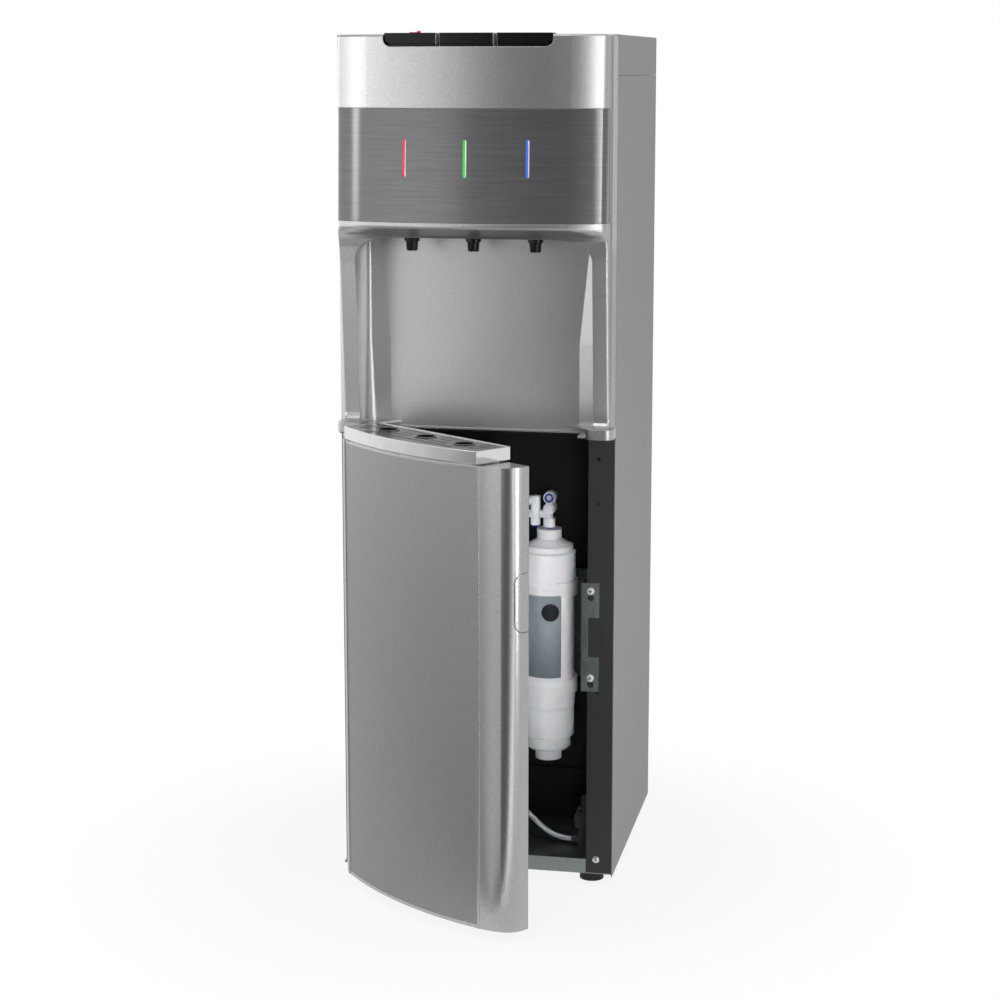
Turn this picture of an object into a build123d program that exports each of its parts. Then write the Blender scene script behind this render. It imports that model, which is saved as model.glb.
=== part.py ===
from build123d import *
import math
import os

# Floor-standing point-of-use water cooler: a steel cabinet with a bulged plastic front, a brushed
# fascia, three taps over an open niche, and a lower door that carries the drip tray and hides the
# filter cartridges. Millimetres. While it is modelled, X = 0 is the middle of the cabinet, Y = 0 the
# front edge of the side panels, positive to the rear, and Z = 0 the floor. The door is modelled shut
# and then swung to its rest angle. At the end everything moves along Y, so that the origin is under
# the middle of the object as it stands with its door ajar.

# Cabinet
cabinet_width = 340.0
panel_depth = 335.0
cabinet_height = 1040.0
panel_bottom = 10.5
cap_height = 48.0
sheet = 1.0
seam = 0.3
overrun = 6.0

# Head and front moulding; depths are behind the front of the bulge
bulge_low = 71.0
bulge_top = 60.0
rib_inset = 48.0
rib_back = 16.0
shoulder_inset = 13.0
shoulder_back = 30.0
corner_inset = 7.5
corner_back = 38.0
flare_inset = 5.5
flare_depth = 5.0
shell_wall = 3.0
top_round = 3.0
brow_height = 85.0
fascia_height = 133.0
fascia_sheet = 1.5
fascia_end = 17.0
hood_lip = 4.4
soffit_drop = 15.6
niche_height = 238.0
arch_inset = 26.0
arch_corner_width = 42.0
arch_corner_height = 26.0
pillar_high = 24.8
pillar_low = 7.7
pillar_shoulder = 9.5
pillar_corner = 6.0
pillar_edge = 2.4
foot_rise = 10.0
hook_height = 12.3
hook_reach = 25.0
hook_inset = 34.0
hook_round = 11.0

# Niche liner
niche_depth = 44.0
niche_wall = 2.5
back_bulge = 6.0
flute_slant = 17.0
flute_top = 12.0
flute_top_round = 4.0
flute_middle_round = 6.0
flute_foot = 25.5
flute_foot_round = 14.0
flute_rise = 106.0
ledge_width = 42.0
ledge_rise = 6.5
ledge_sheet = 2.6
ledge_block = 20.0
floor_edge = 36.0

# Taps, lights and keys
tap_pitch = 75.0
tap_y = -18.0
tap_drop = 16.0
nozzle_radius = 8.5
stem_radius = 6.0
light_pitch = 73.5
light_rise = 55.0
light_height = 40.0
light_width = 2.6
key_recess_half = 101.0
key_recess_drop = 14.3
key_recess_depth = 36.0
key_corner = 9.0
key_edge = 1.2
key_gap = 4.0
key_proud = 1.5
key_travel = 3.0
lock_travel = 4.0
lock_length = 8.0

# Door
door_side_gap = 9.0
door_hinge_gap = 4.0
door_bottom = 13.8
door_top_gap = 3.5
door_front = 60.0
door_back = 1.0
door_rib_back = 16.5
door_wall = 2.5
panel_sheet = 1.2
rib_width = 3.0
rib_proud = 0.8
knuckle_radius = 7.5
pin_radius = 2.5
pin_clearance = 0.06
pin_grip = 14.0
door_open_angle = 37.0
grip_drop = 121.5
grip_height = 70.0
grip_depth = 22.0
grip_reach = 20.0
grip_round = 12.0
grip_wall = 3.0
groove = 1.0
liner_inset = 4.0
liner_sink = 9.0
liner_rim = 20.0

# Drip tray on top of the door
tray_overhang = 0.8
tray_back = 8.0
tray_lift = 1.6
tray_height = 14.8
tray_wall = 2.4
sump_depth = 9.0
sump_half = 100.0
grille_sheet = 3.0
cup_radius = 11.0
cup_pitch = 69.0

# Frame
post_width = 31.3
post_sheet = 1.2
base_z = 13.5
base_rail = 18.5
foot_radius = 15.0
foot_inset = 29.0
foot_front_y = 25.0
foot_rear_inset = 30.0
partition_y = 198.0
kick_low = 54.0
kick_high = 86.0
kick_proud = 5.0
rear_panel_low = 205.0
mid_shelf_y = 50.0
tank_shelf_rise = 136.0

# Filters
filter_radius = 34.3
filter_rise = 3.25
filter_length = 305.0
filter_neck = 16.0
filter_inset = 107.0
filter_y = 150.0
second_filter_dx = -76.0
second_filter_dy = 4.0
low_clip_rise = 100.5
high_clip_rise = 229.5
clip_height = 20.0
clip_band = 6.0
clip_wall = 2.5
fitting_radius = 7.7
riser_radius = 4.8
low_elbow = 25.0
high_elbow = 39.5
twin_dx = -18.0
twin_radius = 6.2
bracket_inset = 38.8
bracket_y = 192.0
bracket_foot_rise = 99.5
bracket_head_rise = 243.5
tab_width = 20.5
tab_height = 43.0
tube_radius = 3.2

# Tanks and cooling plant
tank_y = 165.0
cold_share = 13 / 60
cold_radius = 60.0
cold_height = 200.0
cold_foam = 22.0
hot_share = 17 / 60
hot_radius = 46.0
hot_height = 150.0
hot_jacket = 12.0
compressor_radius = 56.0
compressor_height = 150.0
compressor_inset = 115.0
compressor_y = 262.0
condenser_half = 130.0
condenser_low = 275.0
condenser_height = 560.0
condenser_runs = 12
condenser_gap = 8.0
condenser_tube = 2.4

half_width = cabinet_width / 2
cap_seam = cabinet_height - cap_height
fascia_top = cabinet_height - brow_height
fascia_bottom = fascia_top - fascia_height
hood_z = fascia_bottom - hood_lip
arch_z = hood_z - soffit_drop
niche_floor = arch_z - niche_height
hook_bottom = niche_floor - seam
hook_top = hook_bottom + hook_height
arch_half = half_width - arch_inset
rib_x = half_width - rib_inset
door_half = half_width - door_side_gap
door_top = niche_floor - door_top_gap
grip_low = door_top - grip_drop - grip_height
foot_rear_y = panel_depth - foot_rear_inset
pin_x = -half_width + door_hinge_gap + knuckle_radius
pin_y = -door_back - knuckle_radius
shelf_z = niche_floor - niche_wall - 3.5
bay_floor = base_z + post_sheet
filter_x = half_width - filter_inset
filter_low = (bay_floor + shelf_z - filter_length - high_elbow - fitting_radius) / 2 + filter_rise
clip_low = filter_low + low_clip_rise
clip_high = filter_low + high_clip_rise
bracket_x = half_width - bracket_inset
bracket_low = filter_low + bracket_foot_rise
bracket_high = filter_low + bracket_head_rise
foam_radius = cold_radius + cold_foam
jacket_radius = hot_radius + hot_jacket
tank_room = cabinet_width - 2 * foam_radius - 2 * jacket_radius
cold_x = -half_width + foam_radius + cold_share * tank_room
hot_x = half_width - jacket_radius - hot_share * tank_room
compressor_x = -half_width + compressor_inset
parts = {}


def block(x0, x1, y0, y1, z0, z1):
    """A box between two corners."""
    return Pos((x0 + x1) / 2, (y0 + y1) / 2, (z0 + z1) / 2) * Box(x1 - x0, y1 - y0, z1 - z0)


def upright(x, y, z0, z1, radius):
    """A cylinder along Z."""
    return Pos(x, y, (z0 + z1) / 2) * Cylinder(radius, z1 - z0)


def bar_y(x, z, y0, y1, radius):
    """A cylinder along Y."""
    return Pos(x, (y0 + y1) / 2, z) * Rot(90, 0, 0) * Cylinder(radius, y1 - y0)


def bar_x(y, z, x0, x1, radius):
    """A cylinder along X."""
    return Pos((x0 + x1) / 2, y, z) * Rot(0, 90, 0) * Cylinder(radius, x1 - x0)


def both_sides(shape):
    """The shape and its mirror image across the middle of the cabinet."""
    return shape + mirror(shape, Plane.YZ)


def group(*shapes):
    """Separate solids under one name."""
    return Compound(children=[solid for shape in shapes for solid in shape.solids()])


def rounded_block(x0, x1, y0, y1, z0, z1, radius, axis):
    """A box with its four edges along one axis rounded."""
    shape = block(x0, x1, y0, y1, z0, z1)
    return fillet(shape.edges().filter_by(axis), radius)


def flank(side, front, bends, run, inset):
    """One side of a bulged plan outline: tangent arcs through the bends, then straight runs back."""
    turn = 0.0
    seen = (0.0, front)
    last = None
    edges = []
    for x, y in bends:
        heading = (side * math.cos(turn), math.sin(turn))
        turn = 2 * math.atan2(y - seen[1], x - seen[0]) - turn
        inward = 1.0 if (x, y) == bends[-1] else math.sin(turn)
        point = (side * (x - inset * inward), y + inset * math.cos(turn))
        if last is not None:
            edges.append(TangentArc(last, point, tangent=heading))
        last = point
        seen = (x, y)
    for x, y in run:
        point = (side * (x - inset), y)
        edges.append(Line(last, point))
        last = point
    return edges


def bulged_plan(front, bends, run, inset=0.0, left_bends=None, left_run=None):
    """A closed plan: one arc between the ribs, and a flank on each side, all moved in by inset."""
    right = flank(1, front, bends, run, inset)
    left = flank(-1, front, left_bends or bends, left_run or run, inset)
    middle = ThreePointArc(left[0] @ 0, (0, front + inset), right[0] @ 0)
    return make_face([middle, *left, *right, Line(left[-1] @ 1, right[-1] @ 1)])


def stack(levels):
    """A ruled solid through (height, face) levels."""
    return loft([Pos(0, 0, z) * face for z, face in levels], ruled=True)


# Front moulding. Each level gives y at the middle and the rib, then the inset from the side and y
# of the shoulder and of the corner.
def bulge_level(z):
    """The bulged front at one height above the hood: it leans back towards the top."""
    share = max(0.0, (z - fascia_bottom) / (cabinet_height - fascia_bottom))
    front = -bulge_low + (bulge_low - bulge_top) * share
    shoulder = (shoulder_inset, front + shoulder_back)
    return front, front + rib_back, shoulder, (corner_inset, front + corner_back)


def pillar_level(depth):
    """A level across the pillars, whose front is flat with a rounded outer edge."""
    shoulder = (pillar_shoulder, -depth)
    return -depth - 0.3, -depth - 0.2, shoulder, (pillar_corner, pillar_edge - depth)


def moulding_plan(level, inset=0.0):
    """The plan of the front moulding at one level."""
    front, rib, shoulder, corner = level
    bends = [(rib_x, rib), (half_width - shoulder[0], shoulder[1]), (half_width - corner[0], corner[1])]
    run = [(half_width - flare_inset, inset - flare_depth), (half_width, 0.0)]
    if inset:
        run.append((half_width, overrun))
    return bulged_plan(front, bends, run, inset)


pillar_foot = hook_top + foot_rise
brow = bulge_level(hood_z)
moulding_levels = [
    (hook_top, pillar_level(pillar_low + 9.0)),
    (hook_top + 0.3 * foot_rise, pillar_level(pillar_low + 3.5)),
    (hook_top + 0.6 * foot_rise, pillar_level(pillar_low + 0.9)),
    (pillar_foot, pillar_level(pillar_low)),
    (hood_z - 47.6, pillar_level(pillar_high)),
    (hood_z - 27.6, pillar_level(pillar_high + 2.4)),
    (hood_z - 17.6, (-31.6, -31.2, (10.0, -29.8), (6.2, -27.0))),
    (hood_z - 12.6, (-39.0, -37.5, (11.5, -34.5), (6.6, -29.8))),
    (hood_z - 8.6, (-49.0, -45.5, (13.0, -38.9), (7.0, -31.8))),
    (hood_z - 5.0, (-61.0, -51.5, (13.0, -40.6), (7.3, -32.8))),
    (hood_z - 2.5, (-69.5, -54.6, (13.0, -41.0), (7.5, -33.0))),
    (hood_z, brow),
    (fascia_bottom, brow),
    (cabinet_height, bulge_level(cabinet_height)),
]


def arch_cut(grow, low, y0, y1):
    """The opening of the niche, a doorway whose upper corners are quarter ellipses."""
    half = arch_half + grow
    wide, high = arch_corner_width + grow, arch_corner_height + grow
    spring, crown = arch_z - arch_corner_height, arch_z + grow
    right = EllipticalCenterArc((half - wide, spring), wide, high, start_angle=0, arc_size=90)
    left = EllipticalCenterArc((wide - half, spring), wide, high, start_angle=90, arc_size=90)
    top = Line((half - wide, crown), (wide - half, crown))
    jambs = [Line((-half, spring), (-half, low)), Line((half, low), (half, spring))]
    outline = make_face([right, top, left, *jambs, Line((-half, low), (half, low))])
    return extrude(Plane.XZ.offset(-y1) * outline, y1 - y0)


def front_shell():
    """Brow, hood, pillars and hooks, moulded in one and open to the rear."""
    outer = stack([(z, moulding_plan(level)) for z, level in moulding_levels])
    crown = outer.edges().group_by(Axis.Z)[-1].filter_by(lambda e: e.center().Y < -0.5)
    outer = fillet(crown, top_round)
    hollow_levels = [pair for pair in moulding_levels if pair[0] >= pillar_foot]
    low = stack([(z, moulding_plan(level, shell_wall)) for z, level in hollow_levels if z <= hood_z])
    soffit = low - arch_cut(shell_wall, hook_top, -2 * bulge_low, 2 * overrun)
    head_z = cabinet_height - shell_wall
    head_levels = [hood_z, fascia_bottom, head_z]
    head = stack([(z, moulding_plan(bulge_level(z), shell_wall)) for z in head_levels])
    shell = outer - Pos(0, 0, shell_wall) * soffit - head
    shell -= arch_cut(0.0, hook_top - 1, -2 * bulge_low, 2 * overrun)
    hook = block(half_width - hook_inset, half_width, -hook_reach, 0, hook_bottom, hook_top)
    front_edges = hook.edges().filter_by(Axis.Z).group_by(Axis.Y)[0]
    hook = fillet(front_edges, hook_round)
    shell += both_sides(hook)
    shell -= fascia_recess(fascia_sheet + seam, 0.0)
    for n in (-1, 0, 1):
        shell -= light_slot(n, 0.0, light_width / 2 + seam / 2)
        shell -= upright(n * tap_pitch, tap_y, arch_z - 1, hood_z, stem_radius + seam)
    shell -= key_recess()
    return shell


def fascia_recess(depth, margin):
    """The band between the brow and the hood, to a depth, that the fascia lies in."""
    low, high = fascia_bottom + margin, fascia_top - margin
    band = stack([(z, moulding_plan(bulge_level(z))) for z in (low, high)])
    core = stack([(z, moulding_plan(bulge_level(z), depth)) for z in (low, high)])
    reach = block(-half_width, half_width, -2 * bulge_low, -fascia_end - margin, low, high)
    return (band - core) & reach


def light_slot(n, low, half):
    """An upright slot through the fascia and the moulding, with round ends."""
    z0 = fascia_bottom + light_rise
    x = n * light_pitch
    slot = block(x - half, x + half, -2 * bulge_low, -bulge_top + 16, z0 - half, z0 + light_height + half)
    return fillet(slot.edges().filter_by(Axis.Y), half * 0.96)


def key_recess():
    """The notch in the top front edge that the keys fill."""
    low = cabinet_height - key_recess_drop
    back = -bulge_top + key_recess_depth
    half = key_recess_half
    notch = block(-half, half, -2 * bulge_low, back, low, cabinet_height + 5)
    return fillet(notch.edges().filter_by(Axis.Y).group_by(Axis.Z)[0], key_corner)


parts["front_shell"] = front_shell()

fascia = fascia_recess(fascia_sheet, seam)
for n in (-1, 0, 1):
    fascia -= light_slot(n, 0.0, light_width / 2 + seam / 2)
parts["fascia_panel"] = fascia

board_y = -bulge_top + 9
for n, name in ((-1, "light_hot"), (0, "light_warm"), (1, "light_cold")):
    lens = light_slot(n, 0.0, light_width / 2)
    z_mid = fascia_bottom + light_rise
    level = moulding_plan(bulge_level(z_mid + light_height))
    lens &= extrude(Pos(0, 0, z_mid - 5) * level, light_height + 10)
    lens &= block(-half_width, half_width, -2 * bulge_low, board_y, z_mid - 5, fascia_top)
    parts[name] = lens

board_low = fascia_bottom + light_rise - 12
parts["control_board"] = block(
    -light_pitch - 20, light_pitch + 20, board_y, board_y + 1.6, board_low, board_low + light_height + 24
)


# Niche liner
def niche_plan(half, flute, rounding, back, lip):
    """The plan of the niche: a bulged back between two slanted flutes with a rounded outer side."""
    slant = math.radians(flute_slant)
    bend_y = back - flute * math.tan(slant)
    lead = rounding * math.tan((math.pi / 2 - slant) / 2)
    rear = ThreePointArc((half - flute, back), (0, back - back_bulge), (flute - half, back))
    edges = [Line((-half, -lip), (half, -lip)), rear]
    for side in (-1, 1):
        start = (side * half, bend_y - lead)
        end = (side * (half - lead * math.cos(slant)), bend_y + lead * math.sin(slant))
        edges.append(Line((side * half, -lip), start))
        edges.append(TangentArc(start, end, tangent=(0, 1)))
        edges.append(Line(end, (side * (half - flute), back)))
    return make_face(edges)


def niche_levels(grow, low, high, lip):
    """The niche's space, with flutes that widen and soften towards the foot."""
    half = arch_half + grow
    back = niche_depth + grow
    foot = niche_plan(half, flute_foot, flute_foot_round, back, lip)
    middle = niche_plan(half, flute_foot, flute_middle_round, back, lip)
    top = niche_plan(half, flute_top, flute_top_round, back, lip)
    return stack([(low, foot), (niche_floor + flute_rise, middle), (high, top)])


def niche_liner():
    """The moulded back of the niche, with its ceiling, its corner ledges and a narrow floor."""
    shell = niche_levels(niche_wall, niche_floor - niche_wall, arch_z + niche_wall, 0.0)
    shell -= niche_levels(0.0, niche_floor, arch_z, overrun)
    notch_half = rib_x + 1.5
    shell -= block(-notch_half, notch_half, -1, floor_edge, niche_floor - 5, niche_floor + 1)
    corner = (arch_half + 1, 0)
    tip = (arch_half - ledge_width, niche_depth + 1)
    plan = make_face([
        ThreePointArc(corner, (arch_half - 13, 17), tip),
        Line(tip, (corner[0], tip[1])),
        Line((corner[0], tip[1]), corner),
    ])
    ledge = extrude(Pos(0, 0, niche_floor + ledge_rise - ledge_sheet) * plan, ledge_sheet)
    below = extrude(Pos(0, 0, niche_floor - 1) * plan, ledge_rise)
    ledge += below & block(arch_half - ledge_block, half_width, -1, niche_depth + 2, 0, cabinet_height)
    ledge &= niche_levels(0.5, niche_floor - 1, arch_z, 0.0)
    shell += both_sides(ledge)
    return shell


parts["niche_liner"] = niche_liner()

# Taps and their valves
nozzles = []
valves = []
for n in (-1, 0, 1):
    x = n * tap_pitch
    outline = Polyline(
        (0, arch_z - tap_drop),
        (nozzle_radius - 2.0, arch_z - tap_drop),
        (nozzle_radius - 1.0, arch_z - 5),
        (nozzle_radius + 0.8, arch_z - 4.5),
        (nozzle_radius + 0.8, arch_z - seam),
        (stem_radius, arch_z - seam),
        (stem_radius, hood_z - 2),
        (0, hood_z - 2),
        close=True,
    )
    nozzle = revolve(Plane.XZ * make_face(outline), Axis.Z)
    nozzle -= upright(0, 0, arch_z - tap_drop - 1, arch_z - 3, nozzle_radius - 4.0)
    nozzles.append(Pos(x, tap_y, 0) * nozzle)
    body = rounded_block(x - 13, x + 13, tap_y - 13, tap_y + 13, hood_z - 2, hood_z + 20, 4, Axis.Z)
    coil = upright(x, tap_y, hood_z + 20, hood_z + 42, 11)
    valves.append(body + coil + bar_y(x, hood_z + 9, tap_y + 12, tap_y + 26, 4))
parts["tap_nozzles"] = group(*nozzles)
parts["dispense_valves"] = group(*valves)


# Keys in their housing
key_inner = shell_wall + 1.3
key_floor = cabinet_height - key_recess_drop - 8.0
key_low = key_floor + key_travel + 0.7


def key_plan(inset, margin):
    """The space of the keys in plan, bounded by the bulged front."""
    face = moulding_plan(bulge_level(cabinet_height), inset)
    low, high = key_floor - 2, cabinet_height + key_proud
    half = key_recess_half - margin
    back = -bulge_top + key_recess_depth - margin
    return extrude(Pos(0, 0, low) * face, high - low) & block(-half, half, -2 * bulge_low, back, low, high)


housing = key_plan(shell_wall + seam, -2.0) & block(
    -half_width, half_width, -2 * bulge_low, 0, key_floor - 2, cabinet_height - shell_wall - seam
)
housing -= key_plan(shell_wall + seam, 0.4) & block(
    -half_width, half_width, -2 * bulge_low, 0, key_floor, cabinet_height + 5
)
switches = []
key_width = (2 * (key_recess_half - 0.9) - 2 * key_gap) / 3
for n in (-1, 0, 1):
    x = n * (key_width + key_gap)
    housing -= upright(x, -bulge_top + 22, key_floor - 5, key_floor + 1, 2.4)
    body = block(x - 10, x + 10, -bulge_top + 18, -bulge_top + 26, key_floor - 12, key_floor - 2)
    switches.append(body + upright(x, -bulge_top + 22, key_floor - 2, key_low - key_travel - 0.4, 1.8))
parts["key_housing"] = housing
parts["key_switches"] = group(*switches)

lock_x = -key_recess_half + 42.0
lock_y = -bulge_top + 20.0
for n, name in ((-1, "hot_key"), (0, "normal_key"), (1, "cold_key")):
    x = n * (key_width + key_gap)
    step = cabinet_height - key_recess_drop + key_travel + 0.5
    upper = key_plan(2.0, 0.9)
    upper &= block(x - key_width / 2, x + key_width / 2, -2 * bulge_low, 0, step, cabinet_height + key_proud)
    upper = fillet(upper.edges().filter_by(Axis.Z).sort_by(Axis.Y)[:2], key_edge)
    if n:
        keep = block(x - key_width, x + key_width, -2 * bulge_low, 0, step, cabinet_height + 2 * key_proud)
        outer = keep.edges().filter_by(Axis.Y).group_by(Axis.Z)[0].sort_by(Axis.X)[-1 if n > 0 else 0]
        keep = fillet(outer, key_corner - 0.7)
        upper &= Pos(-n * key_width / 2, 0, 0) * keep
    lower = key_plan(key_inner, 0.9)
    lower &= block(x - key_width / 2, x + key_width / 2, -2 * bulge_low, 0, key_low, step + 0.01)
    key = upper + lower
    if n < 0:
        reach = lock_length / 2 + lock_travel / 2
        key -= block(lock_x - reach, lock_x + reach, lock_y - 2, lock_y + 2, cabinet_height - 3, cabinet_height + 5)
    parts[name] = key
slide_x = lock_x - lock_travel / 2
lock_top = cabinet_height + key_proud
lock_right = slide_x + lock_length / 2 - 1
parts["child_lock"] = rounded_block(
    lock_right - 13, lock_right, lock_y - 3, lock_y + 3, lock_top + 0.1, lock_top + 0.9, 1.5, Axis.Z
) + rounded_block(
    lock_right - 3.8, lock_right, lock_y - 3, lock_y + 3, lock_top + 0.5, lock_top + 2.3, 1.0, Axis.Z
) + block(
    slide_x - lock_length / 2 + 0.1, slide_x + lock_length / 2 - 0.1, lock_y - 1.9, lock_y + 1.9,
    cabinet_height - 2.6, lock_top + 0.2
)


# Cabinet sheet metal
def side_panel():
    """The right panel, with a return at the rear and one at the top."""
    inner = half_width - sheet
    panel = block(inner, half_width, 0, panel_depth, panel_bottom, cap_seam)
    panel += block(inner - 12, inner, panel_depth - sheet, panel_depth, panel_bottom, cap_seam)
    panel += block(inner - 10, inner, 30, panel_depth, cap_seam - sheet, cap_seam)
    return panel


parts["side_panel_right"] = side_panel()
parts["side_panel_left"] = mirror(side_panel(), Plane.YZ)

cap = block(-half_width, half_width, seam, panel_depth, cap_seam + seam, cabinet_height)
cap = fillet(cap.edges().group_by(Axis.Z)[-1].filter_by(Axis.Y), 2.0)
cap -= block(
    -half_width + 2.5, half_width - 2.5, -1, panel_depth - 2.5, cap_seam - 1, cabinet_height - 2.5
)
parts["top_cover"] = cap

rear_y = panel_depth - sheet
rear = block(-half_width + sheet, half_width - sheet, rear_y - sheet, rear_y, rear_panel_low, cap_seam - sheet)
louvre_x = 0.45 * half_width
louvre_half = 34.0
louvre_rows = 6
louvre_pitch = 11.0
for row in range(louvre_rows):
    z = cap_seam - 130 + louvre_pitch * row
    for x in (-louvre_x, louvre_x):
        slot = block(
            x - louvre_half, x + louvre_half, rear_y - 2 * sheet, rear_y + sheet, z - 2.2, z + 2.2
        )
        rear -= fillet(slot.edges().filter_by(Axis.Y), 2.1)
switch_z = cap_seam - 32
switch_pitch = 36.0
switch_x = 0.55 * half_width
for n in (0, 1):
    x = switch_x + n * switch_pitch
    rear -= block(x - 10.5, x + 10.5, rear_y - 2, rear_y + 1, switch_z - 6.5, switch_z + 6.5)
inlet_x = -half_width + 40
inlet_z = rear_panel_low + 22
mains_x = half_width - 50
mains_z = inlet_z + 13
drain_xs = (-18.0, 12.0)
rear -= bar_y(inlet_x, inlet_z, rear_y - 3, rear_y + 3, 9.2)
rear -= block(mains_x - 13.8, mains_x + 13.8, rear_y - 3, rear_y + 3, mains_z - 10.3, mains_z + 10.3)
for x in drain_xs:
    rear -= bar_y(x, inlet_z, rear_y - 3, rear_y + 3, 7.2)
parts["rear_panel"] = rear

base_half = half_width - sheet - 0.2
base = block(-base_half, base_half, 0, rear_y - seam, base_z, base_z + post_sheet)
post_inner = half_width - sheet - 0.2 - post_width
rail = block(-post_inner + seam, post_inner - seam, 0, post_sheet, base_z, base_z + base_rail)
foot_x = half_width - foot_inset
feet = []
nuts = []
for x in (-foot_x, foot_x):
    for y in (foot_front_y, foot_rear_y):
        base -= upright(x, y, base_z - 1, base_z + 3, 4.2)
        pad = fillet(upright(x, y, 0, panel_bottom, foot_radius).edges().group_by(Axis.Z)[-1], 2.0)
        foot = pad + upright(x, y, panel_bottom, base_z - 0.1, 6.0) + upright(x, y, base_z - 0.1, base_z + 12, 4.0)
        feet.append(foot)
        nut = extrude(Pos(x, y, base_z + post_sheet) * RegularPolygon(7.0, 6), 6.0)
        nuts.append(nut - upright(x, y, base_z, base_z + 10, 4.05))
parts["base_pan"] = base + rail
parts["feet"] = group(*feet)

post_low = bay_floor
post_high = niche_floor - niche_wall - 0.5
screw_zs = (niche_floor - 27.5, niche_floor - 82.0, bracket_low + 33.0)


def corner_post():
    """The right corner post: a flange that faces front, a web and an inner return."""
    outer = half_width - sheet - 0.2
    post = block(post_inner, outer, 0, post_sheet, post_low, post_high)
    post += block(outer - post_sheet, outer, 0, 30, post_low, post_high)
    post += block(post_inner, post_inner + post_sheet, 0, 16, post_low, post_high)
    for z in screw_zs:
        post -= bar_y(half_width - 20, z, -1, 3, 2.0)
    return post


parts["post_right"] = corner_post()
parts["post_left"] = mirror(corner_post(), Plane.YZ)

wall_half = half_width - sheet - 0.3
parts["partition"] = block(
    -wall_half, wall_half, partition_y, partition_y + sheet, base_z + post_sheet, shelf_z - sheet
) + block(-wall_half, wall_half, partition_y - kick_proud, partition_y, kick_low, kick_high)
parts["mid_shelf"] = block(-wall_half, wall_half, mid_shelf_y, rear_y - 2 * sheet, shelf_z - sheet, shelf_z)
tank_shelf_z = niche_floor + tank_shelf_rise
tank_shelf = block(
    -wall_half, wall_half, niche_depth + niche_wall + 2, rear_y - 2 * sheet, tank_shelf_z - 1.5, tank_shelf_z
)
tank_shelf += block(
    -wall_half, wall_half, niche_depth + niche_wall + 2, niche_depth + niche_wall + 3.5,
    tank_shelf_z - 15, tank_shelf_z
)
parts["tank_shelf"] = tank_shelf

# Tanks
foam_low = tank_shelf_z
foam_high = foam_low + cold_height + 2 * cold_foam
foam = upright(cold_x, tank_y, foam_low, foam_high, foam_radius)
foam -= upright(cold_x, tank_y, foam_low + cold_foam, foam_high - cold_foam, cold_radius + 3.4)
parts["tank_insulation"] = foam
cold_low = foam_low + cold_foam
tank = upright(cold_x, tank_y, cold_low, cold_low + cold_height, cold_radius)
tank = fillet(tank.edges(), 8.0)
tank -= upright(cold_x, tank_y, cold_low + 1.2, cold_low + cold_height - 1.2, cold_radius - 9.2)
parts["cold_tank"] = tank
coil_low = cold_low + 0.2 * cold_height
coil = upright(cold_x, tank_y, coil_low, coil_low + 0.6 * cold_height, cold_radius + 3.2)
coil -= upright(cold_x, tank_y, coil_low - 1, coil_low + 0.6 * cold_height + 1, cold_radius + 0.2)
parts["evaporator_band"] = coil
hot_low = tank_shelf_z + hot_jacket + 0.1
jacket = upright(hot_x, tank_y, tank_shelf_z, hot_low + hot_height + hot_jacket, jacket_radius)
jacket -= upright(hot_x, tank_y, hot_low - 0.1, hot_low + hot_height + 0.1, hot_radius + 0.2)
parts["hot_tank_jacket"] = jacket
hot = fillet(upright(hot_x, tank_y, hot_low, hot_low + hot_height, hot_radius).edges(), 6.0)
hot -= upright(hot_x, tank_y, hot_low + 1.2, hot_low + hot_height - 1.2, hot_radius - 7.2)
parts["hot_tank"] = hot
jacket_front = tank_y - jacket_radius
thermostats = []
for n in (0, 1):
    z = hot_low + 45 + 40 * n
    disc = bar_y(hot_x, z, jacket_front - 9, jacket_front + 0.2, 8.5)
    thermostats.append(disc - upright(hot_x, tank_y, z - 20, z + 20, jacket_radius + 0.1))
parts["thermostats"] = group(*thermostats)

# Compressor and condenser
mount_z = bay_floor
shell_low = mount_z + 16
dome_z = shell_low + compressor_height - compressor_radius
belly = 20.0
outline = make_face([
    Line((0, shell_low), (compressor_radius - belly, shell_low)),
    TangentArc((compressor_radius - belly, shell_low), (compressor_radius, shell_low + belly), tangent=(1, 0)),
    Line((compressor_radius, shell_low + belly), (compressor_radius, dome_z)),
    TangentArc((compressor_radius, dome_z), (0, dome_z + compressor_radius), tangent=(0, 1)),
    Line((0, dome_z + compressor_radius), (0, shell_low)),
])
compressor = Pos(compressor_x, compressor_y, 0) * revolve(Plane.XZ * outline, Axis.Z)
plate_half = (75.0, 45.0)
mount_inset = 10.0
plate = rounded_block(
    compressor_x - plate_half[0], compressor_x + plate_half[0],
    compressor_y - plate_half[1], compressor_y + plate_half[1],
    shell_low - 3, shell_low, mount_inset, Axis.Z
)
mounts = []
for sx in (-1, 1):
    for sy in (-1, 1):
        x = compressor_x + sx * (plate_half[0] - mount_inset)
        y = compressor_y + sy * (plate_half[1] - mount_inset)
        plate -= upright(x, y, shell_low - 5, shell_low + 2, 6.2)
        pad = upright(x, y, mount_z, shell_low - 3, 11) + upright(x, y, shell_low - 3, shell_low + 1, 6.0)
        mounts.append(pad + upright(x, y, shell_low + 0.2, shell_low + 2.2, 8))
parts["compressor"] = compressor + plate
parts["compressor_mounts"] = group(*mounts)

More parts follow.
